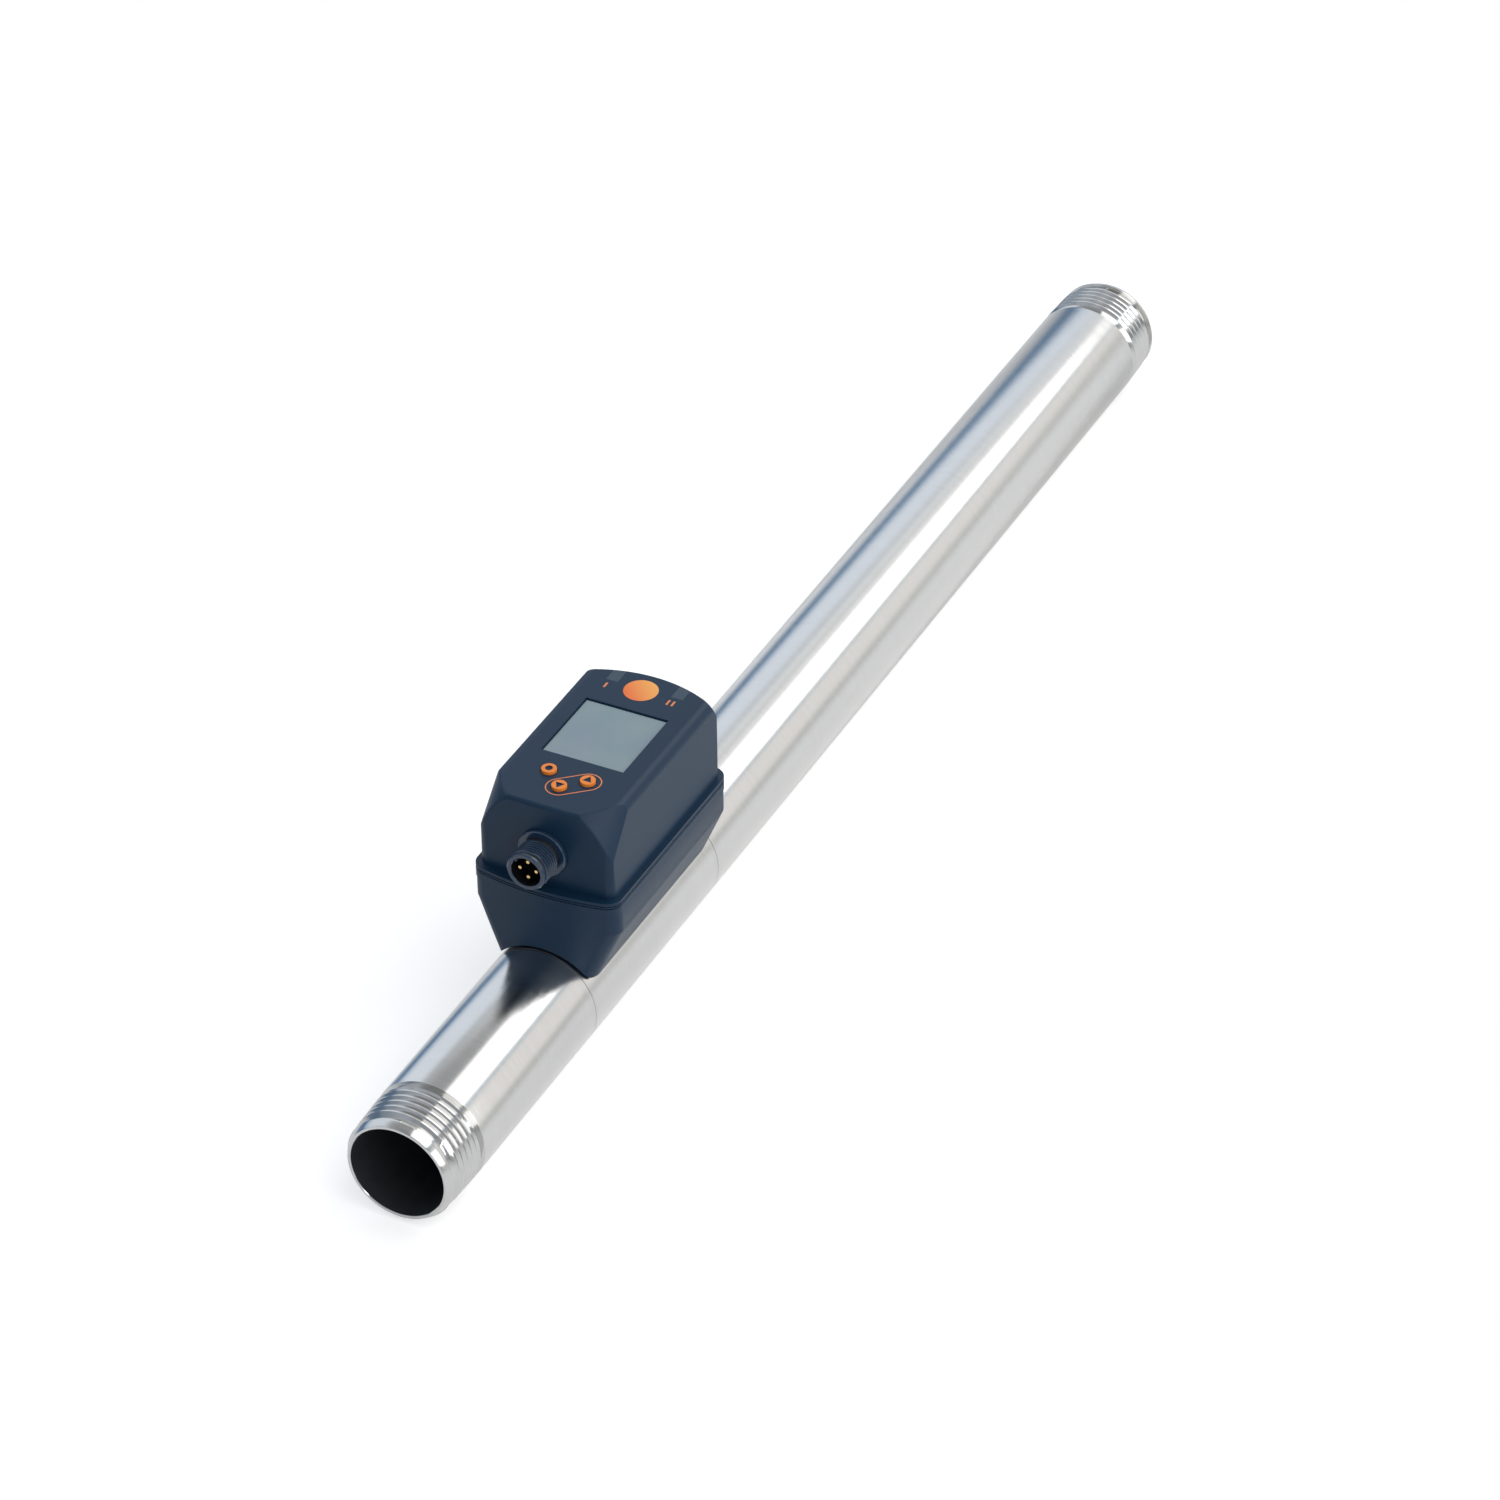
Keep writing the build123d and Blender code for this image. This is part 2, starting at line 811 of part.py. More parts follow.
def light_guide(side):
    guide_y = side * guide_spacing / 2
    with BuildPart() as guide:
        with BuildSketch(Plane.XY.offset(ceiling_height)):
            with Locations((guide_middle, guide_y)):
                Rectangle(guide_length, guide_width - fit_gap)
        extrude(amount=top_wall)
        add(upper_form(0, ledge_height, top_height), mode=Mode.INTERSECT)
        with BuildSketch(Plane.XY.offset(ceiling_height)):
            with Locations((stalk_middle, guide_y)):
                Rectangle(guide_stalk_length, guide_width - 2 * fit_gap)
        extrude(amount=-stalk_depth)
    return guide.part


save(light_guide(-1), "first_output_light_guide")
save(light_guide(1), "second_output_light_guide")

with BuildPart() as output_lamps:
    with BuildSketch(Plane.XY.offset(display_board_top)):
        with Locations(*[(stalk_middle, side * guide_spacing / 2) for side in (-1, 1)]):
            Rectangle(lamp_size, lamp_size)
    extrude(amount=lamp_height)
save(output_lamps.part, "output_lamps")


# Buttons on their key switches, each a little above its switch's plunger

button_top = top_height + button_rise
flange_top = ceiling_height - button_rest_gap
stem_foot = flange_top - button_flange_height - button_stem_length
plunger_top = stem_foot - button_press_gap - button_travel
switch_height = plunger_top - plunger_height - display_board_top

with BuildPart() as key_switches:
    with BuildSketch(Plane.XY.offset(display_board_top)):
        with Locations(*button_places):
            Rectangle(switch_size, switch_size)
    extrude(amount=switch_height)
    with BuildSketch(Plane.XY.offset(display_board_top + switch_height)):
        with Locations(*button_places):
            Circle(plunger_radius)
    extrude(amount=plunger_height)
save(key_switches.part, "key_switches")


def button(place, symbol):
    """A button cap with its sunk symbol: ring for a round sunk middle, or an arrow's turn."""
    with BuildPart() as cap:
        with BuildSketch(Plane.XY.offset(flange_top - button_flange_height)):
            with Locations(place):
                Circle(button_radius + button_flange)
        extrude(amount=button_flange_height)
        with BuildSketch(Plane.XY.offset(flange_top)):
            with Locations(place):
                Circle(button_radius)
        extrude(amount=button_top - flange_top)
        with BuildSketch(Plane.XY.offset(button_top)):
            with Locations(place):
                if symbol == "ring":
                    Circle(symbol_radius)
                else:
                    RegularPolygon(arrow_radius, 3, rotation=symbol)
        extrude(amount=-symbol_depth, mode=Mode.SUBTRACT)
        with BuildSketch(Plane.XY.offset(flange_top - button_flange_height)):
            with Locations(place):
                Circle(button_stem_radius)
        extrude(amount=-button_stem_length)
    return cap.part


save(button(button_places[0], "ring"), "enter_button")
save(button(button_places[1], 0), "down_button")
save(button(button_places[2], 180), "up_button")


# Round connector in the front wall: along X, from the wall's outer face

mouth = front_face + connector_projection
insert_face = mouth - socket_depth
nut_face = front_face - housing_wall - connector_nut_gap
neck_end = nut_face - connector_nut_height - connector_nut_margin
collar_front = front_face + collar_thickness
socket_line = Axis((0, 0, connector_height), (1, 0, 0))


def ring_at(start, end, radius, bore):
    """A ring about the connector's axis, from start to end along X."""
    with BuildPart() as ring:
        with BuildSketch(Plane.YZ.offset(start)):
            with Locations((0, connector_height)):
                Circle(radius)
                Circle(bore, mode=Mode.SUBTRACT)
        extrude(amount=end - start)
    return ring.part


seal_ring = ring_at(
    front_face,
    front_face + seal_ring_section,
    seal_ring_radius + seal_ring_section / 2,
    seal_ring_radius - seal_ring_section / 2,
)

with BuildPart() as connector_body:
    add(ring_at(neck_end, mouth, connector_neck_radius, socket_radius))
    add(ring_at(front_face, collar_front, collar_radius, socket_radius))
    with BuildSketch(Plane.XZ):
        with BuildLine():
            Polyline(
                (collar_front + thread_relief, connector_height + socket_radius),
                (collar_front + thread_relief, connector_height + connector_radius),
                (mouth - lip_chamfer, connector_height + connector_radius),
                (mouth, connector_height + connector_radius - lip_chamfer),
                (mouth, connector_height + socket_radius),
                close=True,
            )
        make_face()
    revolve(axis=socket_line)
    add(seal_ring, mode=Mode.SUBTRACT)
    with BuildSketch(Plane.YZ.offset(insert_face)):
        with Locations((0, connector_height)):
            with Locations(Location((0, 0, 0), (0, 0, key_turn))):
                with Locations((0, socket_radius - key_height / 2 + fit_gap / 2)):
                    Rectangle(key_width, key_height + fit_gap)
    extrude(amount=socket_depth - lip_chamfer)
save(connector_body.part, "connector_body")

save(seal_ring, "connector_seal")

with BuildPart() as connector_nut:
    with BuildSketch(Plane.YZ.offset(nut_face - connector_nut_height)):
        with Locations((0, connector_height)):
            RegularPolygon(connector_nut_across / 2, 6, major_radius=False)
            Circle(connector_neck_radius + thread_play, mode=Mode.SUBTRACT)
    extrude(amount=connector_nut_height)
save(connector_nut.part, "connector_nut")

contact_places = []
for quarter in range(4):
    turn = radians(quarter * 90)
    across = -contact_circle / 2 * sin(turn)
    contact_places.append((across, connector_height + contact_circle / 2 * cos(turn)))

with BuildPart() as contact_insert:
    with BuildSketch(Plane.YZ.offset(neck_end)):
        with Locations((0, connector_height)):
            Circle(socket_radius - insert_gap)
        with Locations(*contact_places):
            Circle(contact_radius, mode=Mode.SUBTRACT)
    extrude(amount=insert_face - neck_end)
save(contact_insert.part, "contact_insert")

connector_board_front = board_front - connector_board_setback
contact_foot = connector_board_front - board_thickness - contact_solder_rise

with BuildPart() as contact_pins:
    with BuildSketch(Plane.YZ.offset(contact_foot)):
        with Locations(*contact_places):
            Circle(contact_radius)
    extrude(amount=insert_face + contact_rise - contact_foot)
save(contact_pins.part, "contact_pins")

with BuildPart() as connector_board:
    board_rise = board_spacing - connector_board_gap
    with BuildSketch(Plane.YZ.offset(connector_board_front - board_thickness)):
        with Locations((0, main_board_top + board_rise / 2)):
            Rectangle(connector_board_width, board_rise)
        with Locations(*contact_places):
            Circle(contact_radius + fit_gap, mode=Mode.SUBTRACT)
    extrude(amount=board_thickness)
save(connector_board.part, "connector_board")
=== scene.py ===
"""Dresses the compressed air flow meter: steel pipe run, display housing and round connector."""

from math import pi, radians, tau

import bmesh
import bpy
from bpy.props import FloatProperty, FloatVectorProperty, IntProperty, PointerProperty
from mathutils import Matrix, Vector


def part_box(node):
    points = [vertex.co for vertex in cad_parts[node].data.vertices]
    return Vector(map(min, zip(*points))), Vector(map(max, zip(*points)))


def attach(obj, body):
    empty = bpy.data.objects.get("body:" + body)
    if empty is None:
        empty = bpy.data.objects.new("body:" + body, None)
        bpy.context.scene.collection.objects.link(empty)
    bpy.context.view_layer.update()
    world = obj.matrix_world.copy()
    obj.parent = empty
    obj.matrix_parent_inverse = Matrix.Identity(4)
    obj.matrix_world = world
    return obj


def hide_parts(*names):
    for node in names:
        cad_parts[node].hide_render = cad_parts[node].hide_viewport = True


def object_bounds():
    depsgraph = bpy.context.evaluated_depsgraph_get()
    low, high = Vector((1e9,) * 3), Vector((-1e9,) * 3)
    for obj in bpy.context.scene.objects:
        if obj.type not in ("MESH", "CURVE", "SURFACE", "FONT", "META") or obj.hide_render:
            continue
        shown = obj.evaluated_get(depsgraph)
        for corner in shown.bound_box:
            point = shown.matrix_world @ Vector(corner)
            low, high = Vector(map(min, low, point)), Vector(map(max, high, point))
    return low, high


bl_info = {
    "name": "Compressed Air Flow Meter",
    "version": (1, 0, 0),
    "blender": (4, 5, 0),
    "location": "3D View > Sidebar > Flow Meter",
    "description": "Models and finishes an in-line compressed air flow meter piece by piece",
    "category": "Object",
}

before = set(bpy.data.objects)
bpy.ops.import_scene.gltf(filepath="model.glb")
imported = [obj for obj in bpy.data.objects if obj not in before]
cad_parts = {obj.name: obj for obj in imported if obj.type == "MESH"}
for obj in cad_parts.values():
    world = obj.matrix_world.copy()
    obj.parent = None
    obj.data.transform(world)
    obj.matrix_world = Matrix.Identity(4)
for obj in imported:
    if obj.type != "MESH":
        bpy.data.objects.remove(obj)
cad_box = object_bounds()
STATIC_BODY = "meter"
MM = 0.001
PIPE_AXIS = Vector((0, 0, 0))

# Flats that make a full turn
MARK_STEPS = 96
PLUG_STEPS = 96
PIPE_RIDGE_STEPS = 96
PLUG_RIDGE_STEPS = 72


# Sizes and colours


def length_property(name, description, millimetres):
    return FloatProperty(
        name=name, description=description, default=millimetres * MM, unit="LENGTH"
    )


class MeterSizes(bpy.types.PropertyGroup):
    bore_radius: length_property("Bore radius", "Inner radius of the pipe", 14.25)
    rim_width: length_property("Mouth rim", "Width of the flat rim at the pipe's mouths", 0.95)
    pipe_thread_pitch: length_property(
        "Pipe thread pitch", "Distance between two turns of the pipe thread", 2.309
    )
    pipe_thread_depth: length_property(
        "Pipe thread depth", "Depth of the pipe thread from crest to root", 1.42
    )
    pipe_thread_length: length_property(
        "Pipe thread length", "Threaded length from the mouth of the pipe", 19.1
    )
    pipe_thread_lead: length_property(
        "Lead length", "Length of the smooth lead before the first turn", 2.3
    )
    plug_crest_radius: length_property(
        "Plug thread radius", "Outer radius of the connector's thread", 6.0
    )
    plug_bore_radius: length_property("Plug bore radius", "Radius of the connector's bore", 4.5)
    plug_thread_pitch: length_property(
        "Plug thread pitch", "Distance between two turns of the connector's thread", 1.0
    )
    plug_thread_depth: length_property(
        "Plug thread depth", "Depth of the connector's thread", 0.78
    )
    shell_edge: length_property("Shell edge", "Softness of the upper shell's edges", 0.35)
    rim_edge: length_property("Rim edge", "Softness of the lower shell's edges", 0.15)
    window_edge: length_property("Window edge", "Softness of the display window's edges", 0.22)
    button_edge: length_property("Button edge", "Softness of the buttons' edges", 0.09)
    weld_depth: length_property("Weld depth", "Depth of the ground weld lines on the pipe", 0.03)
    print_height: length_property(
        "Print height", "Thickness of the printed marks on the top", 0.03
    )
    disc_radius: length_property("Disc radius", "Radius of the printed disc", 5.0)
    bar_width: length_property("Bar width", "Width of the bars by the light guides", 0.62)
    outline_radius: length_property(
        "Outline radius", "Inner radius of the outline round the two arrow buttons", 3.6
    )
    outline_width: length_property(
        "Outline width", "Width of the printed outline round the two arrow buttons", 0.34
    )
    turn_steps: IntProperty(
        name="Steps of a turn",
        description="How many flats make a full turn of the pipes",
        default=128,
        min=24,
        max=256,
    )


def colour_property(name, description, default):
    return FloatVectorProperty(
        name=name, description=description, default=default, subtype="COLOR", size=3, min=0, max=1
    )


class MeterColours(bpy.types.PropertyGroup):
    steel: colour_property("Steel", "Satin stainless steel of the pipe", (0.70, 0.695, 0.685))
    # Painted shade: the bore colour is near black, standing in for the shade inside the pipe
    bore: colour_property("Bore", "Dark inner wall of the pipe", (0.022, 0.026, 0.030))
    shell: colour_property("Shell", "Moulded housing", (0.0050, 0.0250, 0.0570))
    seal: colour_property("Seal", "Rubber between the shells", (0.0045, 0.0150, 0.0340))
    glass: colour_property("Glass", "Coated display window", (0.180, 0.262, 0.345))
    guide: colour_property("Light guide", "Output light guides", (0.032, 0.060, 0.092))
    button: colour_property("Button", "Moulded buttons", (0.97, 0.235, 0.030))
    mark: colour_property("Mark", "Printed marks", (0.72, 0.23, 0.09))
    disc: colour_property("Disc", "Printed disc", (0.84, 0.17, 0.04))
    plug: colour_property("Plug", "Connector body", (0.0090, 0.0260, 0.0560))
    gold: colour_property("Gold", "Gold-plated contacts", (0.86, 0.62, 0.28))
    floor: colour_property("Floor", "Pale studio floor", (0.75, 0.75, 0.75))


# Shader building


class Wire:
    """A node's output in an expression. Operators add Math nodes."""

    def __init__(self, finish, socket):
        self.finish = finish
        self.socket = socket

    def combine(self, operation, first, second):
        made = self.finish.node("ShaderNodeMath", {"operation": operation}, {0: first, 1: second})
        return Wire(self.finish, made.outputs[0])

    def __add__(self, other):
        return self.combine("ADD", self, other)

    def __radd__(self, other):
        return self.combine("ADD", other, self)

    def __sub__(self, other):
        return self.combine("SUBTRACT", self, other)

    def __rsub__(self, other):
        return self.combine("SUBTRACT", other, self)

    def __mul__(self, other):
        return self.combine("MULTIPLY", self, other)

    def __rmul__(self, other):
        return self.combine("MULTIPLY", other, self)

    def __truediv__(self, other):
        return self.combine("DIVIDE", self, other)

    def __pow__(self, other):
        return self.combine("POWER", self, other)

    def __lt__(self, other):
        return self.combine("LESS_THAN", self, other)

    def __gt__(self, other):
        return self.combine("GREATER_THAN", self, other)

    def __abs__(self):
        return self.combine("ABSOLUTE", self, 0)

    def clamped(self):
        return self.combine("MINIMUM", self.combine("MAXIMUM", self, 0), 1)

    def rise(self, start, width):
        """0 up to start, then evenly up to 1 over width."""
        return ((self - start) / width).clamped()


class Finish:
    """A material or world under construction."""

    # The Mix node's sockets for colours
    MIX_FIRST, MIX_SECOND, MIX_RESULT = 6, 7, 2

    def __init__(self, name, world=False):
        data = bpy.data.worlds if world else bpy.data.materials
        self.made = data.new(name)
        self.made.use_nodes = True
        self.tree = self.made.node_tree
        self.tree.nodes.clear()
        kind = "ShaderNodeOutputWorld" if world else "ShaderNodeOutputMaterial"
        self.output = self.tree.nodes.new(kind)

    def node(self, kind, settings=None, inputs=None):
        made = self.tree.nodes.new(kind)
        for name, value in (settings or {}).items():
            if name == "stops":
                ramp = made.color_ramp.elements
                while len(ramp) < len(value):
                    ramp.new(0.5)
                for stop, (place, colour) in zip(ramp, value):
                    stop.position = place
                    stop.color = (*colour, 1)
            else:
                setattr(made, name, value)
        for key, value in (inputs or {}).items():
            socket = made.inputs[key]
            if isinstance(value, Wire):
                self.tree.links.new(value.socket, socket)
            elif socket.type == "RGBA" and len(value) == 3:
                socket.default_value = (*value, 1)
            else:
                socket.default_value = value
        return made

    def wire(self, kind, settings=None, inputs=None, output=0):
        return Wire(self, self.node(kind, settings, inputs).outputs[output])

    def axes(self):
        coordinates = self.wire("ShaderNodeTexCoord", output="Object")
        parts = self.node("ShaderNodeSeparateXYZ", {}, {"Vector": coordinates})
        return [Wire(self, parts.outputs[n]) for n in range(3)]

    def noise(self, scale, detail=2.0, roughness=0.5, shift=(0, 0, 0)):
        """Noise over Object coordinates. Scale is per metre, for all axes or for each."""
        if not isinstance(scale, tuple):
            scale = (scale, scale, scale)
        coordinates = self.wire("ShaderNodeTexCoord", output="Object")
        place = {"Vector": coordinates, "Scale": scale, "Location": shift}
        place = self.wire("ShaderNodeMapping", {}, place)
        inputs = {"Vector": place, "Scale": 1.0, "Detail": detail, "Roughness": roughness}
        return self.wire("ShaderNodeTexNoise", {}, inputs)

    def light_path(self, *names):
        """For each named kind of ray, 1 on such rays and 0 on others."""
        paths = self.node("ShaderNodeLightPath")
        return [Wire(self, paths.outputs[name]) for name in names]

    def blend(self, share, first, second):
        """Two colours mixed: share 0 gives first."""
        settings = {"data_type": "RGBA", "clamp_factor": True}
        inputs = {"Factor": share, self.MIX_FIRST: first, self.MIX_SECOND: second}
        return self.wire("ShaderNodeMix", settings, inputs, self.MIX_RESULT)

    def bump(self, height, strength, distance):
        inputs = {"Height": height, "Strength": strength, "Distance": distance}
        return self.wire("ShaderNodeBump", {}, inputs)

    def surface(self, **inputs):
        named = {name.replace("_", " "): value for name, value in inputs.items()}
        shader = self.node("ShaderNodeBsdfPrincipled", {}, named)
        self.tree.links.new(shader.outputs[0], self.output.inputs[0])
        return self.made


def shade(colour, share):
    return tuple(min(1.0, part * share) for part in colour)


finishes = {}


def finish_named(name):
    """The finish of that name, made on its first use."""
    if name not in finishes:
        finishes[name] = FINISH_MAKERS[name](bpy.context.scene.meter_colours)
    return finishes[name]


def brushed_steel(colours):
    """Steel brushed round the pipe, with a thin dark line in a duller band at each weld."""
    band = 2.4 * MM
    line = 0.28 * MM
    f = Finish("brushed_steel")
    fine = f.noise((1500, 40, 40), 4.0, 0.75)
    broad = f.noise((700, 24, 24), 3.0, 0.6, (3, 1, 2))
    smudge = f.noise((22, 40, 40), 3.0, 0.55, (5, 2, 7))
    along, _, _ = f.axes()
    low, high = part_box("sensor_section")
    first, second = abs(along - low.x), abs(along - high.x)
    weld = 2 - first.rise(0, band) - second.rise(0, band)
    joint = 1 - first.rise(0, line) * second.rise(0, line)
    tone = (fine * 0.34 + broad * 0.20 + smudge * 0.10 + 0.62 - weld * 0.05).clamped()
    colour = f.blend(tone, shade(colours.steel, 0.72), shade(colours.steel, 1.04))
    colour = f.blend(joint * 0.55, colour, shade(colours.steel, 0.08))
    rough = (0.10 + fine * 0.08 + smudge * 0.06 + weld * 0.08).clamped()
    normal = f.bump(fine * 0.7 + broad * 0.3, 0.5, 0.09 * MM)
    return f.surface(Base_Color=colour, Metallic=1.0, Roughness=rough, Normal=normal)


def thread_steel(colours):
    f = Finish("thread_steel")
    fine = f.noise((4000, 260, 260), 2.0, 0.6)
    stain = f.noise(150, 3.0, 0.6, (2, 9, 4))
    tone = fine * 0.5 + stain * 0.5
    colour = f.blend(tone, shade(colours.steel, 0.80), shade(colours.steel, 1.08))
    rough = 0.08 + fine * 0.08
    normal = f.bump(fine, 0.10, 0.04 * MM)
    return f.surface(Base_Color=colour, Metallic=1.0, Roughness=rough, Normal=normal)


def bore_painted_shade(colours):
    """The pipe's inner wall, painted dark as the shade inside the tube, faintly streaked along its
    length.
    """
    f = Finish("bore_painted_shade")
    scale = f.noise(260, 3.0, 0.6)
    streak = f.noise((18, 420, 420), 2.0, 0.6, (4, 2, 8))
    tone = scale * 0.6 + streak * 0.4
    colour = f.blend(tone, shade(colours.bore, 0.55), shade(colours.bore, 1.5))
    rough = 0.52 + scale * 0.2
    normal = f.bump(scale, 0.25, 0.08 * MM)
    return f.surface(Base_Color=colour, Metallic=0.2, Roughness=rough, Normal=normal)


def turned_steel(colours):
    f = Finish("turned_steel")
    fine = f.noise(2600, 2.0, 0.6)
    stain = f.noise(120, 3.0, 0.6)
    colour = f.blend(stain, shade(colours.steel, 0.74), shade(colours.steel, 0.98))
    rough = 0.22 + fine * 0.12
    normal = f.bump(fine, 0.12, 0.03 * MM)
    return f.surface(Base_Color=colour, Metallic=1.0, Roughness=rough, Normal=normal)


def moulded(name, colour, roughness, grain, grain_depth, gloss=0.42):
    """A matte moulded plastic with the fine grain of a spark-eroded tool."""
    f = Finish(name)
    pits = f.noise(grain, 2.0, 0.55)
    coarse = f.noise(grain / 3, 2.0, 0.5, (4, 8, 1))
    cloud = f.noise(55, 3.0, 0.6, (1, 6, 3))
    tone = pits * 0.45 + coarse * 0.20 + cloud * 0.35
    base = f.blend(tone, shade(colour, 0.72), shade(colour, 1.32))
    rough = roughness - 0.06 + pits * 0.10 + cloud * 0.06
    normal = f.bump(pits * 0.65 + coarse * 0.35, 0.55, grain_depth)
    return f.surface(Base_Color=base, Roughness=rough, Normal=normal, Specular_IOR_Level=gloss)


def shell_plastic(colours):
    return moulded("shell_plastic", colours.shell, 0.38, 2600, 0.045 * MM, 0.30)


def seal_rubber(colours):
    return moulded("seal_rubber", colours.seal, 0.55, 1800, 0.03 * MM, 0.2)


def plug_plastic(colours):
    """Moulded plastic with painted shade in the depth of the thread's turns."""
    root_shade_out_to = 5.35 * MM
    fade = 0.35 * MM
    lip = 1.2 * MM
    f = Finish("plug_plastic")
    low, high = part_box("connector_body")
    along, across, height = f.axes()
    lift = height - (low.z + high.z) / 2
    out = (across * across + lift * lift) ** 0.5
    root_shade_mask = (1 - out.rise(root_shade_out_to, fade)) * (along < high.x - lip)
    pits = f.noise(1800, 2.0, 0.55)
    worn = f.blend(pits, shade(colours.plug, 0.8), shade(colours.plug, 1.7))
    # Painted shade: the thread's roots are darkened towards black
    base = f.blend(root_shade_mask, worn, shade(colours.plug, 0.15))
    rough = 0.16 + pits * 0.08 + root_shade_mask * 0.4
    normal = f.bump(pits, 0.4, 0.006 * MM)
    return f.surface(Base_Color=base, Roughness=rough, Normal=normal, Specular_IOR_Level=0.8)


def black_plastic(colours):
    return moulded("black_plastic", (0.0035, 0.0040, 0.0050), 0.42, 1600, 0.02 * MM)


def button_plastic(colours):
    return moulded("button_plastic", colours.button, 0.40, 2200, 0.012 * MM)


def lamp_plastic(colours):
    return moulded("lamp_plastic", (0.80, 0.74, 0.45), 0.25, 1600, 0.01 * MM)


def printed_mark(colours):
    return moulded("printed_mark", colours.mark, 0.45, 3000, 0.01 * MM)


def printed_disc(colours):
    """Plain orange print, a little lighter towards one side."""
    pale = (0.92, 0.42, 0.10)
    middle = 327.9 * MM
    reach = 13 * MM
    f = Finish("printed_disc")
    along, across, _ = f.axes()
    speck = f.noise(2600)
    cloud = f.noise(160)
    aside = (across - along + middle) / reach
    tone = (aside + 0.35 + cloud * 0.25 + speck * 0.08).clamped()
    colour = f.blend(tone, colours.disc, pale)
    return f.surface(Base_Color=colour, Roughness=0.38 + speck * 0.1, Specular_IOR_Level=0.4)


def guide_plastic(colours):
    return moulded("guide_plastic", colours.guide, 0.24, 900, 0.006 * MM)


def window_glass(colours):
    """Coated glass over a dark display, with the coating's faint colour play."""
    violet = (0.245, 0.275, 0.335)
    green = (0.215, 0.305, 0.300)
    f = Finish("window_glass")
    play = f.noise(75)
    second = f.noise(48, shift=(7, 3, 5))
    dust = f.noise(1500, 2.0, 0.6)
    base = f.blend(play.rise(0.1875, 0.625), shade(colours.glass, 0.86), violet)
    base = f.blend(second.rise(0.28125, 0.625), base, green)
    rough = 0.085 + dust * 0.05
    return f.surface(Base_Color=base, Roughness=rough, Coat_Weight=0.6, Coat_Roughness=0.04)


def gold_plate(colours):
    f = Finish("gold_plate")
    wear = f.noise(1400)
    colour = f.blend(wear, shade(colours.gold, 0.85), colours.gold)
    return f.surface(Base_Color=colour, Metallic=1.0, Roughness=0.16 + wear * 0.1)


def turned_brass(colours):
    f = Finish("turned_brass")
    wear = f.noise(1400)
    colour = f.blend(wear, (0.50, 0.36, 0.14), (0.70, 0.52, 0.24))
    return f.surface(Base_Color=colour, Metallic=1.0, Roughness=0.25 + wear * 0.12)


def sensor_glaze(colours):
    return moulded("sensor_glaze", (0.55, 0.53, 0.46), 0.22, 900, 0.008 * MM)


def board_laminate(colours):
    """Green lacquer with fine copper runs showing through."""
    f = Finish("board_laminate")
    weave = f.noise(900)
    along, across, _ = f.axes()
    fold = {"operation": "PINGPONG"}
    run = f.wire("ShaderNodeMath", fold, {0: along * 400 + weave * 0.6, 1: 0.5})
    cross = f.wire("ShaderNodeMath", fold, {0: across * 330, 1: 0.5})
    copper = (run < 0.12) * (cross > 0.14)
    base = f.blend(weave, (0.010, 0.085, 0.030), (0.020, 0.125, 0.048))
    base = f.blend(copper * 0.8, base, (0.045, 0.20, 0.075))
    normal = f.bump(copper, 0.3, 0.02 * MM)
    return f.surface(Base_Color=base, Roughness=0.30 + weave * 0.1, Normal=normal)


FINISH_MAKERS = {
    maker.__name__: maker
    for maker in (
        brushed_steel,
        thread_steel,
        bore_painted_shade,
        turned_steel,
        shell_plastic,
        seal_rubber,
        plug_plastic,
        black_plastic,
        button_plastic,
        lamp_plastic,
        printed_mark,
        printed_disc,
        guide_plastic,
        window_glass,
        gold_plate,
        turned_brass,
        sensor_glaze,
        board_laminate,
    )
}


# Mesh building


def to_object(bm, name, *finish_names, smooth=38):
    """Turns a bmesh into an object at the origin, smooth where its faces meet gently."""
    mesh = bpy.data.meshes.new(name)
    bm.to_mesh(mesh)
    bm.free()
    for finish_name in finish_names:
        mesh.materials.append(finish_named(finish_name))
    for face in mesh.polygons:
        face.use_smooth = True
    mesh.set_sharp_from_angle(angle=radians(smooth))
    made = bpy.data.objects.new(name, mesh)
    bpy.context.scene.collection.objects.link(made)
    return made


def lathe(bm, outline, centre, steps):
    """Spins a closed outline of (along X, radius) about an X line through centre."""
    points = [bm.verts.new((x, centre.y, centre.z + radius)) for x, radius in outline]
    edges = [bm.edges.new(pair) for pair in zip(points, points[1:] + points[:1])]
    bmesh.ops.spin(
        bm,
        geom=points + edges,
        cent=centre,
        axis=(1, 0, 0),
        dvec=(0, 0, 0),
        angle=tau,
        steps=steps,
        use_merge=True,
        use_duplicate=False,
    )
    bmesh.ops.remove_doubles(bm, verts=bm.verts, dist=1e-7)
    bmesh.ops.recalc_face_normals(bm, faces=bm.faces)


def paint_bore(bm, centre, radius):
    """Gives the faces of a bore round centre the second finish, a dark one that paints the shade
    inside the bore.
    """
    slack = 0.05 * MM
    for face in bm.faces:
        arm = face.calc_center_median() - centre
        if Vector((arm.y, arm.z)).length < radius + slack:
            face.material_index = 1


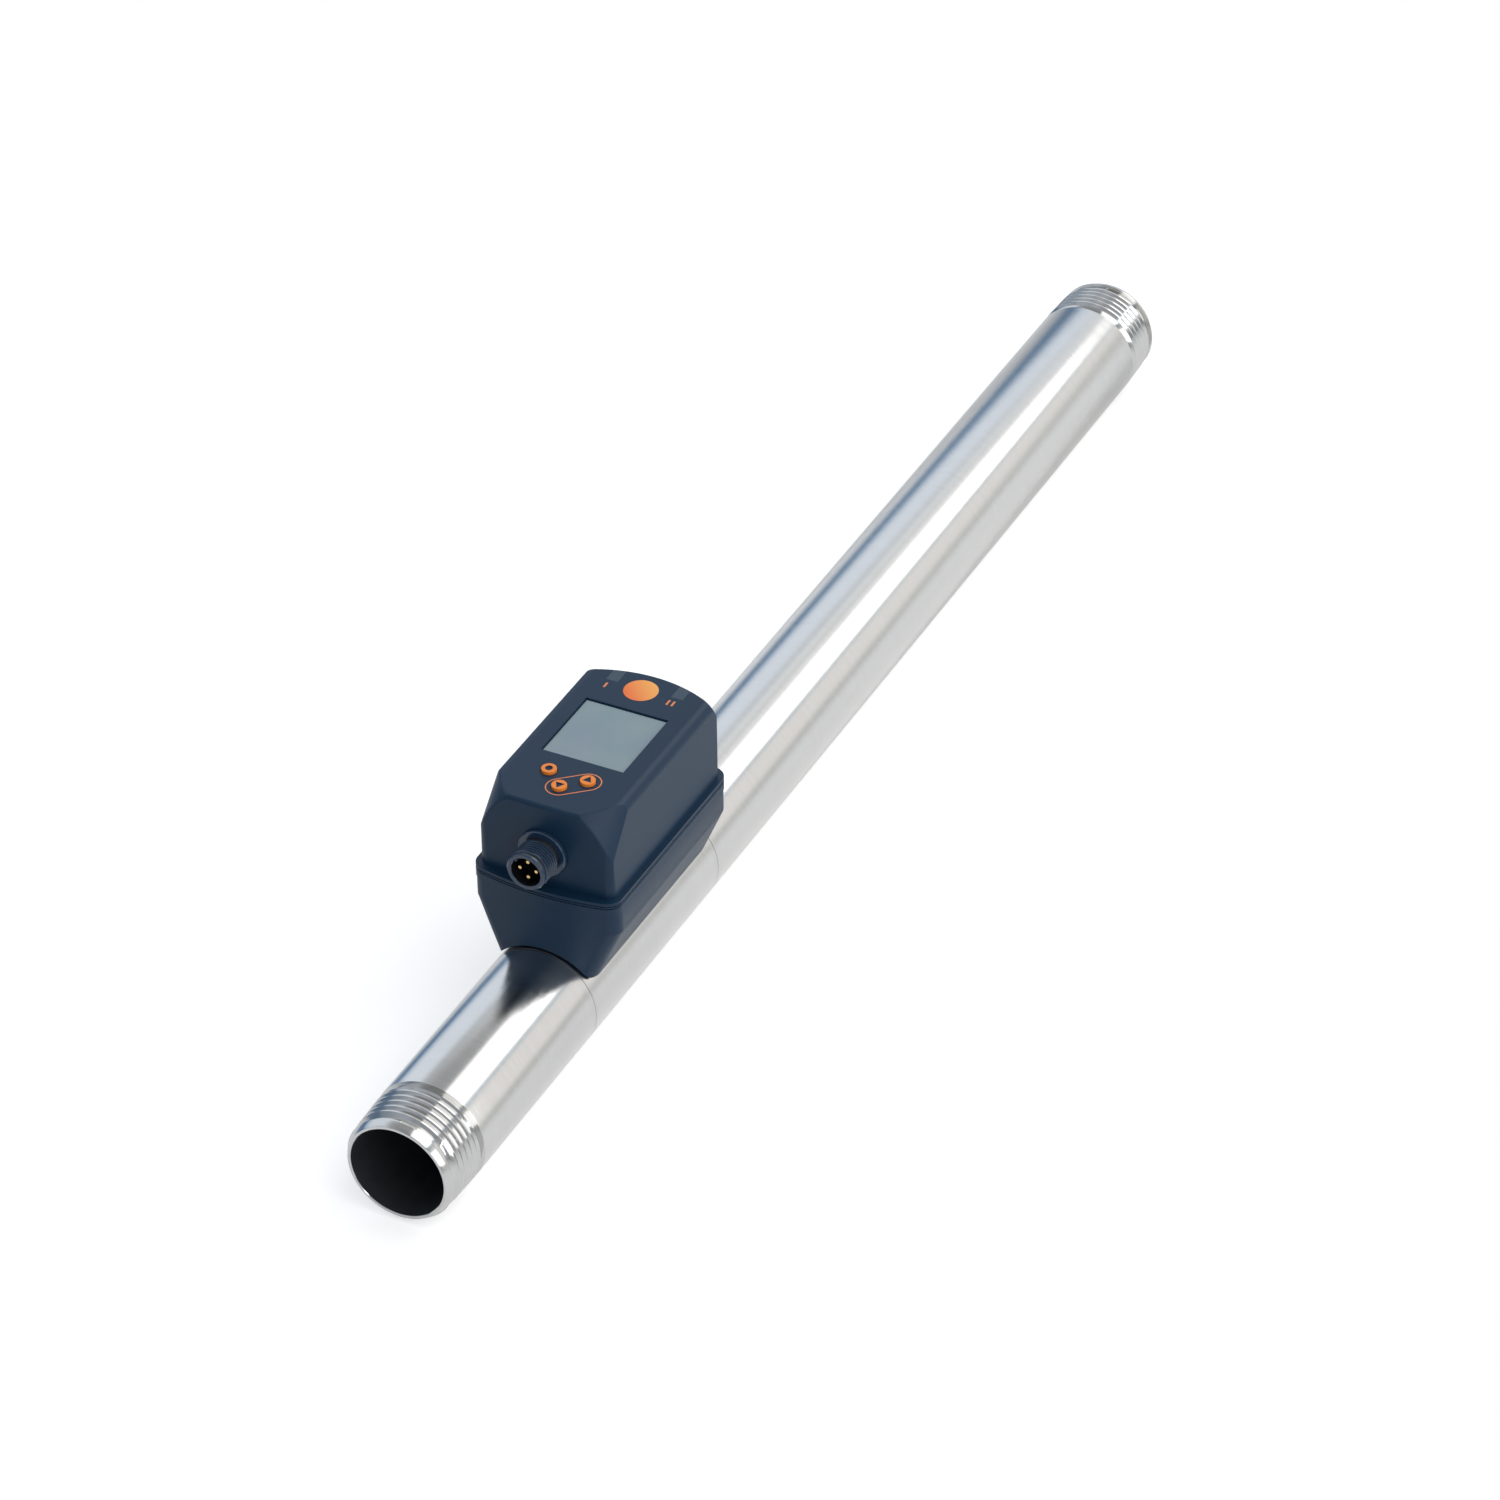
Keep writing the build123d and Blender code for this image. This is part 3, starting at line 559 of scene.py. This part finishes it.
def thread_ridge(bm, start, end, centre, steps, pitch, crest_at, root_at, land):
    """A helical ridge from start to end along X, with its crest and root at given radii.

    Its profile is spun a metre out, with levels from 0 at the root to 1 at the crest, and the
    levels then become radii. Land is the flat crest's share of the pitch.
    """
    underside = -0.4
    first_height = 0.15
    direction = 1 if end > start else -1
    half = pitch / 2
    outline = [(-half, 0), (-land * half, 1), (land * half, 1), (half, 0), (0, underside)]
    before = set(bm.verts)
    first = [
        bm.verts.new((start + direction * x, centre.y, centre.z + 1 + level))
        for x, level in outline
    ]
    edges = [bm.edges.new(pair) for pair in zip(first, first[1:] + first[:1])]
    turns = abs(end - start) / pitch
    count = max(8, int(turns * steps))
    spun = bmesh.ops.spin(
        bm,
        geom=first + edges,
        cent=centre,
        axis=(1, 0, 0),
        dvec=((end - start) / count, 0, 0),
        angle=tau * turns,
        steps=count,
        use_merge=False,
        use_duplicate=False,
    )
    last = [item for item in spun["geom_last"] if isinstance(item, bmesh.types.BMEdge)]
    bmesh.ops.edgeloop_fill(bm, edges=edges)
    bmesh.ops.edgeloop_fill(bm, edges=last)
    ridge = set(bm.verts) - before
    for vert in ridge:
        x = vert.co.x
        arm = Vector((0, vert.co.y - centre.y, vert.co.z - centre.z))
        level = arm.length - 1
        if level > 0:
            from_end = min(abs(x - start), abs(end - x)) / pitch
            level *= min(1, first_height + from_end)
        arm.length = root_at(x) + (crest_at(x) - root_at(x)) * level
        vert.co = Vector((x, centre.y, centre.z)) + arm
    faces = [face for face in bm.faces if ridge.issuperset(face.verts)]
    bmesh.ops.recalc_face_normals(bm, faces=faces)


def softened(name, node, width, *finish_names, segments=2, sharp=32):
    """A merged copy of a CAD node with its edges above sharp, in degrees, rounded."""
    bm = bmesh.new()
    bm.from_mesh(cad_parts[node].data)
    bmesh.ops.remove_doubles(bm, verts=bm.verts, dist=0.002 * MM)
    bmesh.ops.dissolve_limit(
        bm,
        angle_limit=radians(0.4),
        use_dissolve_boundaries=False,
        verts=bm.verts,
        edges=bm.edges,
    )
    edges = [
        edge
        for edge in bm.edges
        if len(edge.link_faces) == 2 and edge.calc_face_angle(0) > radians(sharp)
    ]
    bmesh.ops.bevel(
        bm,
        geom=edges,
        offset=width,
        offset_type="OFFSET",
        affect="EDGES",
        segments=segments,
        profile=0.5,
        clamp_overlap=True,
        material=-1,
    )
    made = to_object(bm, name, *finish_names, smooth=50)
    weighted = made.modifiers.new("Weighted normals", "WEIGHTED_NORMAL")
    weighted.keep_sharp = True
    return made


def finish_piece(piece, node=None, body=STATIC_BODY):
    """Puts a piece on its body, in place of a CAD node if one is given."""
    if node:
        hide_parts(node)
    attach(piece, body)


def dress(finish_name, *nodes):
    """Gives CAD nodes, shown as they are, a finish."""
    for node in nodes:
        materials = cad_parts[node].data.materials
        materials.clear()
        materials.append(finish_named(finish_name))


# Operators


class METER_OT_pipe_run(bpy.types.Operator):
    """Turn the two threaded pipes and the measuring tube"""

    bl_idname = "meter.pipe_run"
    bl_label = "Pipe Run"
    bl_options = {"REGISTER", "UNDO"}

    def execute(self, context):
        sizes = context.scene.meter_sizes
        low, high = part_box("sensor_section")
        radius = high.z
        self.threaded_pipe(sizes, "inlet_pipe", 0.0, low.x, radius)
        self.threaded_pipe(sizes, "outlet_pipe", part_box("outlet_pipe")[1].x, high.x, radius)
        self.measuring_tube(sizes, low.x, high.x, radius)
        return {"FINISHED"}

    def threaded_pipe(self, sizes, node, mouth, joint, radius):
        """A pipe with its thread at the mouth and its ground weld at the joint."""
        inward = 1 if joint > mouth else -1
        bore = sizes.bore_radius
        lead = sizes.pipe_thread_lead
        length = sizes.pipe_thread_length
        pitch = sizes.pipe_thread_pitch
        groove = sizes.weld_depth
        mouth_crest = radius - 0.55 * MM
        highest_crest = radius - 0.01 * MM
        taper = 1 / 32

        def crest_at(x):
            return min(highest_crest, mouth_crest + abs(x - mouth) * taper)

        def root_at(x):
            return crest_at(x) - sizes.pipe_thread_depth

        def along(distance):
            return mouth + inward * distance

        rim = bore + sizes.rim_width
        lead_crest = crest_at(along(lead))
        first_root = along(lead + 0.3 * MM)
        last_root = along(length - 0.5 * MM)
        outline = [
            (mouth, bore + 0.15 * MM),
            (mouth, rim - 0.1 * MM),
            (along(0.1 * MM), rim),
            (along(lead - 0.25 * MM), lead_crest - 0.12 * MM),
            (along(lead), lead_crest - 0.16 * MM),
            (first_root, root_at(first_root)),
            (last_root, root_at(last_root)),
            (along(length), radius - 0.06 * MM),
            (along(length + 0.12 * MM), radius),
            (joint - inward * groove, radius),
            (joint, radius - groove),
            (joint, bore),
            (along(0.15 * MM), bore),
        ]
        bm = bmesh.new()
        lathe(bm, outline, PIPE_AXIS, sizes.turn_steps)
        paint_bore(bm, PIPE_AXIS, bore)
        thread_ridge(
            bm,
            along(lead + pitch * 0.45),
            along(length - pitch * 0.30),
            PIPE_AXIS,
            PIPE_RIDGE_STEPS,
            pitch,
            crest_at,
            root_at,
            land=0.20,
        )
        for face in bm.faces:
            distance = abs(face.calc_center_median().x - mouth)
            if face.material_index == 0 and distance < length + 0.05 * MM:
                face.material_index = 2
        pipe = to_object(bm, node + "_turned", "brushed_steel", "bore_painted_shade", "thread_steel")
        finish_piece(pipe, node)

    def measuring_tube(self, sizes, start, end, radius):
        """The plain tube between the two welds."""
        bore = sizes.bore_radius
        groove = sizes.weld_depth
        outline = [
            (start, bore),
            (start, radius - groove),
            (start + groove, radius),
            (end - groove, radius),
            (end, radius - groove),
            (end, bore),
        ]
        bm = bmesh.new()
        lathe(bm, outline, PIPE_AXIS, sizes.turn_steps)
        paint_bore(bm, PIPE_AXIS, bore)
        tube = to_object(bm, "measuring_tube", "brushed_steel", "bore_painted_shade")
        finish_piece(tube, "sensor_section")


class METER_OT_housing(bpy.types.Operator):
    """Round the edges of the moulded shells and the seal between them"""

    bl_idname = "meter.housing"
    bl_label = "Housing"
    bl_options = {"REGISTER", "UNDO"}

    def execute(self, context):
        sizes = context.scene.meter_sizes
        for name, node, edge, segments, slot in (
            ("upper_shell", "upper_housing", sizes.shell_edge, 3, "housing_plastic"),
            ("lower_shell", "lower_housing", sizes.rim_edge, 2, "housing_plastic"),
            ("shell_seal", "housing_seal", sizes.shell_edge / 4, 2, "seal_rubber"),
        ):
            shell = softened(name, node, edge, "shell_plastic", segments=segments)
            finish_piece(shell, node)
        return {"FINISHED"}


class METER_OT_display(bpy.types.Operator):
    """Finish the display window, the module behind it and the light guides"""

    bl_idname = "meter.display"
    bl_label = "Display"
    bl_options = {"REGISTER", "UNDO"}

    def execute(self, context):
        edge = context.scene.meter_sizes.window_edge
        pane = softened("window_pane", "display_window", edge, "window_glass", segments=1)
        finish_piece(pane, "display_window")
        dress("black_plastic", "display_module")
        dress("guide_plastic", "first_output_light_guide", "second_output_light_guide")
        return {"FINISHED"}


class METER_OT_buttons(bpy.types.Operator):
    """Soften and colour the three buttons"""

    bl_idname = "meter.buttons"
    bl_label = "Buttons"
    bl_options = {"REGISTER", "UNDO"}

    # How far the recessed symbols are widened
    SYMBOL_GROWTH = {"enter_button": 1.06, "down_button": 1.28, "up_button": 1.28}
    SYMBOL_REACH = 1.35 * MM
    GROWN_REACH = 1.5 * MM
    SYMBOL_DEPTH = 0.4 * MM
    TOP_SKIN = 0.01 * MM

    def execute(self, context):
        for node, growth in self.SYMBOL_GROWTH.items():
            self.soften_cap(node, growth, context.scene.meter_sizes.button_edge)
        return {"FINISHED"}

    def soften_cap(self, node, growth, edge):
        """A button with soft edges and a wider, darker symbol in its top."""
        cap = softened(node + "_cap", node, edge, "button_plastic", "shell_plastic")
        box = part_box(node)
        top = box[1].z
        middle = (box[0] + box[1]) / 2
        vertices = cap.data.vertices
        for vertex in vertices:
            arm = (vertex.co - middle).xy
            if arm.length < self.SYMBOL_REACH and vertex.co.z > top - self.SYMBOL_DEPTH:
                vertex.co.xy = middle.xy + arm * growth
        for face in cap.data.polygons:
            centre = sum((vertices[v].co for v in face.vertices), Vector()) / len(face.vertices)
            inside = (centre - middle).xy.length < self.GROWN_REACH
            if inside and top - self.SYMBOL_DEPTH < centre.z < top - self.TOP_SKIN:
                face.material_index = 1
        finish_piece(cap, node, node + "_body")


class METER_OT_printed_marks(bpy.types.Operator):
    """Print the disc, the bars beside the light guides and the outline round two buttons"""

    bl_idname = "meter.printed_marks"
    bl_label = "Printed Marks"
    bl_options = {"REGISTER", "UNDO"}

    # The print's underside stays just above the shell's top
    LIFT = 0.004 * MM
    DISC_CENTRE = (327.6 * MM, -0.6 * MM)
    BAR_ROW = 329.45 * MM
    # Place across and length of the single bar and of the pair
    BARS = ((-10.8 * MM, 2.3 * MM), (8.85 * MM, 2.4 * MM), (10.4 * MM, 2.4 * MM))

    def execute(self, context):
        sizes = context.scene.meter_sizes
        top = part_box("upper_housing")[1].z + self.LIFT
        bm = bmesh.new()
        bmesh.ops.create_circle(
            bm, cap_ends=True, segments=MARK_STEPS, radius=sizes.disc_radius
        )
        bmesh.ops.translate(bm, verts=bm.verts, vec=(*self.DISC_CENTRE, top))
        self.print_mark(bm, sizes, "plain_disc", "printed_disc")

        bm = bmesh.new()
        for across, length in self.BARS:
            place = Matrix.Translation((self.BAR_ROW, across, top))
            place @= Matrix.Diagonal((length, sizes.bar_width, 1, 1))
            bmesh.ops.create_grid(bm, x_segments=1, y_segments=1, size=0.5, matrix=place)
        self.print_mark(bm, sizes, "output_bars", "printed_mark")
        self.button_outline(sizes, top)
        return {"FINISHED"}

    def print_mark(self, bm, sizes, name, finish_name):
        """Thickens the flat faces of a mark and finishes it."""
        raised = bmesh.ops.extrude_face_region(bm, geom=bm.faces[:])["geom"]
        verts = [item for item in raised if isinstance(item, bmesh.types.BMVert)]
        bmesh.ops.translate(bm, verts=verts, vec=(0, 0, sizes.print_height))
        bmesh.ops.recalc_face_normals(bm, faces=bm.faces)
        finish_piece(to_object(bm, name, finish_name))

    def button_outline(self, sizes, top):
        """A ring cut in two halves that stand apart by the distance of the two buttons."""
        first, second = (sum(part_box(node), Vector()) / 2 for node in ("down_button", "up_button"))
        span = Vector((second.x - first.x, second.y - first.y, 0))
        bm = bmesh.new()
        bmesh.ops.create_circle(
            bm, cap_ends=False, segments=MARK_STEPS, radius=sizes.outline_radius
        )
        for vert in bm.verts:
            if vert.co.dot(span) > 1e-9:
                vert.co += span
        grown = bmesh.ops.extrude_edge_only(bm, edges=bm.edges[:])["geom"]
        outer = [item for item in grown if isinstance(item, bmesh.types.BMVert)]
        for vert in outer:
            share = min(1.0, max(0.0, vert.co.dot(span) / span.length_squared))
            vert.co += (vert.co - span * share).normalized() * sizes.outline_width
        bmesh.ops.translate(bm, verts=bm.verts, vec=(first.x, first.y, top))
        self.print_mark(bm, sizes, "button_outline", "printed_mark")


class METER_OT_connector(bpy.types.Operator):
    """Turn the round connector with its thread and finish what it holds"""

    bl_idname = "meter.connector"
    bl_label = "Connector"
    bl_options = {"REGISTER", "UNDO"}

    def execute(self, context):
        sizes = context.scene.meter_sizes
        low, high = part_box("connector_body")
        middle = Vector((0, 0, (low.z + high.z) / 2))
        bm = bmesh.new()
        self.turn_body(bm, sizes, low, high, middle)
        self.coding_ridge(bm, high.x, middle, sizes.plug_bore_radius)
        body = to_object(bm, "plug_body", "plug_plastic", "black_plastic")
        finish_piece(body, "connector_body")
        dress("black_plastic", "contact_insert")
        dress("gold_plate", "contact_pins")
        dress("seal_rubber", "connector_seal")
        dress("turned_steel", "connector_nut")
        dress("board_laminate", "connector_board")
        return {"FINISHED"}

    def turn_body(self, bm, sizes, low, high, middle):
        """The neck in the housing, the collar before its seal, the thread and the lip."""
        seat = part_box("connector_seal")[0].x
        mouth = high.x
        crest = sizes.plug_crest_radius
        root = crest - sizes.plug_thread_depth
        bore = sizes.plug_bore_radius
        neck = 5.4 * MM
        collar = (high.z - low.z) / 2
        collar_front = seat + 1.5 * MM
        outline = [
            (low.x, bore),
            (low.x, neck),
            (seat, neck),
            (seat, collar - 0.2 * MM),
            (seat + 0.2 * MM, collar),
            (collar_front - 0.3 * MM, collar),
            (collar_front, collar - 0.3 * MM),
            (collar_front, root),
            (mouth - 1.1 * MM, root),
            (mouth - 0.95 * MM, crest - 0.12 * MM),
            (mouth - 0.3 * MM, crest - 0.16 * MM),
            (mouth, crest - 0.45 * MM),
            (mouth, bore + 0.2 * MM),
            (mouth - 0.2 * MM, bore),
        ]
        lathe(bm, outline, middle, PLUG_STEPS)
        # Painted shade: the bore's wall gets the black plastic in place of the body's own colour
        paint_bore(bm, middle, bore)
        thread_ridge(
            bm,
            collar_front + 1.0 * MM,
            mouth - 1.3 * MM,
            middle,
            PLUG_RIDGE_STEPS,
            sizes.plug_thread_pitch,
            lambda x: crest,
            lambda x: root,
            land=0.16,
        )

    def coding_ridge(self, bm, mouth, middle, bore):
        """The ridge on the bore's wall that lets a plug in at one turn only."""
        front = mouth - 0.4 * MM
        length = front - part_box("contact_insert")[1].x
        width, height, inside = 1.0 * MM, 0.55 * MM, 0.25 * MM
        place = (
            Matrix.Translation(middle)
            @ Matrix.Rotation(radians(45), 4, "X")
            @ Matrix.Translation((front - length / 2, 0, bore - inside))
            @ Matrix.Diagonal((length, width, height, 1))
        )
        verts = bmesh.ops.create_cube(bm, size=1, matrix=place)["verts"]
        edges = list(dict.fromkeys(edge for vert in verts for edge in vert.link_edges))
        bmesh.ops.bevel(
            bm,
            geom=edges,
            offset=0.1 * MM,
            offset_type="OFFSET",
            affect="EDGES",
            segments=2,
            profile=0.5,
            material=-1,
        )


class METER_OT_sensor(bpy.types.Operator):
    """Finish the sensor's boss, probe, tips and nut and what holds the housing"""

    bl_idname = "meter.sensor"
    bl_label = "Sensor"
    bl_options = {"REGISTER", "UNDO"}

    def execute(self, context):
        dress("turned_steel", "sensor_boss", "sensor_probe", "probe_nut")
        dress("turned_steel", "housing_saddle", "housing_screws")
        dress("seal_rubber", "probe_seal")
        dress("sensor_glaze", "heated_sensor_tip", "reference_sensor_tip")
        dress("gold_plate", "probe_pins")
        return {"FINISHED"}


class METER_OT_boards(bpy.types.Operator):
    """Finish the boards and what stands on them"""

    bl_idname = "meter.boards"
    bl_label = "Boards"
    bl_options = {"REGISTER", "UNDO"}

    def execute(self, context):
        dress("board_laminate", "main_board", "display_board")
        dress("turned_brass", "board_spacers")
        dress("turned_steel", "board_screws")
        dress("black_plastic", "board_header", "board_components", "key_switches")
        dress("lamp_plastic", "output_lamps")
        return {"FINISHED"}


class METER_OT_stage(bpy.types.Operator):
    """Lay the pale floor and set the soft lights and the camera"""

    bl_idname = "meter.stage"
    bl_label = "Stage"
    bl_options = {"REGISTER", "UNDO"}

    # Name, middle, size, brightness and colour. A strip shines square to the pipe, its first
    # size along it, and a panel shines at LIGHT_TARGET.
    STRIPS = (
        ("overhead_strip", (-1.9, 0.62, 1.30), (6.4, 0.95), 1.25, (1.0, 0.99, 0.97)),
        ("right_panel", (0.9, 1.6, 0.55), (1.6, 0.9), 1.5, (0.97, 0.99, 1.0)),
    )
    PANELS = (
        ("front_fill", (2.2, -0.9, 1.3), (1.6, 1.2), 0.12, (0.96, 0.98, 1.0)),
        ("edge_strip", (2.05, 1.05, 0.42), (0.35, 0.9), 4.0, (0.92, 0.96, 1.0)),
    )
    LIGHT_TARGET = Vector((0.25, 0, 0))

    CAMERA_PLACE = (1.588009, 0.666625, 1.077049)
    CAMERA_TURN = (54.06132, 0.44658, 116.35362)
    CAMERA_LENS = 150.148
    CAMERA_SENSOR = 36

    def execute(self, context):
        self.lay_floor(context)
        self.surround(context)
        for name, middle, size, brightness, colour in self.STRIPS:
            back = Vector((0, middle[1], middle[2]))
            self.area_light(name, middle, back, (1, 0, 0), size, brightness, colour)
        for name, middle, size, brightness, colour in self.PANELS:
            back = Vector(middle) - self.LIGHT_TARGET
            self.area_light(name, middle, back, (0, 1, 0), size, brightness, colour)
        self.set_camera(context)
        return {"FINISHED"}

    def lay_floor(self, context):
        """A pale floor that fades out beside the object, where the white surroundings take over."""
        camera_glow, mirror_glow = 0.50, 0.17
        side_margin, side_fade = 0.055, 0.17
        end_margin, end_fade = 0.03, 0.20
        f = Finish("pale_floor")
        tint = context.scene.meter_colours.floor
        base = f.blend(f.noise(900), shade(tint, 0.99), tint)
        diffuse = f.node("ShaderNodeBsdfDiffuse", {}, {"Color": base})
        camera, glossy, through = f.light_path(
            "Is Camera Ray", "Is Glossy Ray", "Is Transmission Ray"
        )
        strength = camera * camera_glow + (glossy + through) * mirror_glow
        glow = f.node("ShaderNodeEmission", {}, {"Color": (1, 1, 1), "Strength": strength})
        both = f.node("ShaderNodeAddShader")
        f.tree.links.new(diffuse.outputs[0], both.inputs[0])
        f.tree.links.new(glow.outputs[0], both.inputs[1])
        along, across, _ = f.axes()
        centre = (cad_box[0].x + cad_box[1].x) / 2
        half = (cad_box[1].x - cad_box[0].x) / 2
        beside = 1 - abs(across).rise(side_margin, side_fade)
        before = 1 - abs(along - centre).rise(half + end_margin, end_fade)
        clear = f.node("ShaderNodeBsdfTransparent")
        mixed = f.node("ShaderNodeMixShader", {}, {0: beside * before})
        f.tree.links.new(clear.outputs[0], mixed.inputs[1])
        f.tree.links.new(both.outputs[0], mixed.inputs[2])
        f.tree.links.new(mixed.outputs[0], f.output.inputs[0])
        bm = bmesh.new()
        bmesh.ops.create_circle(bm, cap_ends=True, segments=64, radius=1.5)
        bmesh.ops.translate(bm, verts=bm.verts, vec=(0, 0, cad_box[0].z - 0.2 * MM))
        mesh = bpy.data.meshes.new("floor")
        bm.to_mesh(mesh)
        bm.free()
        mesh.materials.append(f.made)
        floor = bpy.data.objects.new("floor", mesh)
        context.scene.collection.objects.link(floor)

    def surround(self, context):
        """Long soft panels beside and above the object, with dark gaps between them."""
        dark = (0.095, 0.20, 0.35)
        gap = (0.45, 0.54, 0.62)
        warm = (0.94, 0.92, 0.90)
        cool = (0.84, 0.91, 1.0)
        pale = (0.96, 0.97, 0.98)
        overhead = (0.36, 0.37, 0.38)
        ahead = (0.10, 0.13, 0.17)
        mirrored_white = 0.05
        # Degrees about the X axis from the right-hand horizon, upwards, and the colour there
        panels = (
            (-180, dark),
            (-169, (0.116, 0.22, 0.37)),
            (-153, gap),
            (-130, (0.80, 0.83, 0.86)),
            (-36, (0.84, 0.84, 0.83)),
            (-11, (0.62, 0.63, 0.62)),
            (0, (0.60, 0.61, 0.60)),
            (7, warm),
            (36, warm),
            (42, gap),
            (48, pale),
            (94, pale),
            (98, (0.72, 0.75, 0.78)),
            (108, pale),
            (122, (0.62, 0.68, 0.74)),
            (131, cool),
            (160, cool),
            (171, (0.50, 0.62, 0.78)),
            (176, dark),
            (180, dark),
        )
        f = Finish("studio", world=True)
        direction = f.wire("ShaderNodeTexCoord", output="Generated")
        parts = f.node("ShaderNodeSeparateXYZ", {}, {"Vector": direction})
        along, across, height = (Wire(f, parts.outputs[n]) for n in range(3))
        roll = f.wire("ShaderNodeMath", {"operation": "ARCTAN2"}, {0: height, 1: across})
        stops = [(degrees / 360 + 0.5, colour) for degrees, colour in panels]
        colour = f.wire("ShaderNodeValToRGB", {"stops": stops}, {0: roll / tau + 0.5})
        colour = f.blend(height.rise(0.7, 0.2), colour, overhead)
        colour = f.blend(along.rise(0.0625, 0.625) * 0.7, colour, ahead)
        camera, glossy, through = f.light_path(
            "Is Camera Ray", "Is Glossy Ray", "Is Transmission Ray"
        )
        white = (camera + through + glossy * mirrored_white).clamped()
        colour = f.blend(white, colour, (1, 1, 1))
        shader = f.node("ShaderNodeBackground", {}, {"Color": colour, "Strength": 1.0})
        f.tree.links.new(shader.outputs[0], f.output.inputs[0])
        context.scene.world = f.made

    def area_light(self, name, middle, back, across, size, brightness, colour):
        """A rectangle whose back faces along back and whose first size lies across."""
        light = bpy.data.lights.new(name, "AREA")
        light.shape = "RECTANGLE"
        light.size, light.size_y = size
        light.energy = brightness * pi * size[0] * size[1]
        light.color = colour
        lamp = bpy.data.objects.new(name, light)
        back = back.normalized()
        up = back.cross(Vector(across)).normalized()
        side = up.cross(back).normalized()
        turn = Matrix((side, up, back)).transposed().to_4x4()
        lamp.matrix_world = Matrix.Translation(middle) @ turn
        bpy.context.scene.collection.objects.link(lamp)

    def set_camera(self, context):
        data = bpy.data.cameras.new("camera")
        data.sensor_width = self.CAMERA_SENSOR
        data.lens = self.CAMERA_LENS
        data.clip_start = 0.05
        data.clip_end = 50
        camera = bpy.data.objects.new("camera", data)
        camera.location = self.CAMERA_PLACE
        camera.rotation_euler = [radians(angle) for angle in self.CAMERA_TURN]
        context.scene.collection.objects.link(camera)
        context.scene.camera = camera
        context.scene.view_settings.view_transform = "Standard"


PIECE_OPERATORS = (
    METER_OT_pipe_run,
    METER_OT_housing,
    METER_OT_display,
    METER_OT_buttons,
    METER_OT_printed_marks,
    METER_OT_connector,
    METER_OT_sensor,
    METER_OT_boards,
    METER_OT_stage,
)


class METER_PT_panel(bpy.types.Panel):
    """Lists the meter's pieces in the sidebar"""

    bl_idname = "METER_PT_panel"
    bl_label = "Flow Meter"
    bl_space_type = "VIEW_3D"
    bl_region_type = "UI"
    bl_category = "Flow Meter"

    def draw(self, context):
        for operator in PIECE_OPERATORS:
            self.layout.operator(operator.bl_idname)
        for group in (context.scene.meter_sizes, context.scene.meter_colours):
            for name in group.__annotations__:
                self.layout.prop(group, name)


CLASSES = (MeterSizes, MeterColours, *PIECE_OPERATORS, METER_PT_panel)


def register():
    for cls in CLASSES:
        bpy.utils.register_class(cls)
    bpy.types.Scene.meter_sizes = PointerProperty(type=MeterSizes)
    bpy.types.Scene.meter_colours = PointerProperty(type=MeterColours)


def unregister():
    del bpy.types.Scene.meter_colours
    del bpy.types.Scene.meter_sizes
    for cls in reversed(CLASSES):
        bpy.utils.unregister_class(cls)


def main():
    register()
    for operator in PIECE_OPERATORS:
        group, name = operator.bl_idname.split(".")
        getattr(getattr(bpy.ops, group), name)()


if __name__ == "__main__":
    main()
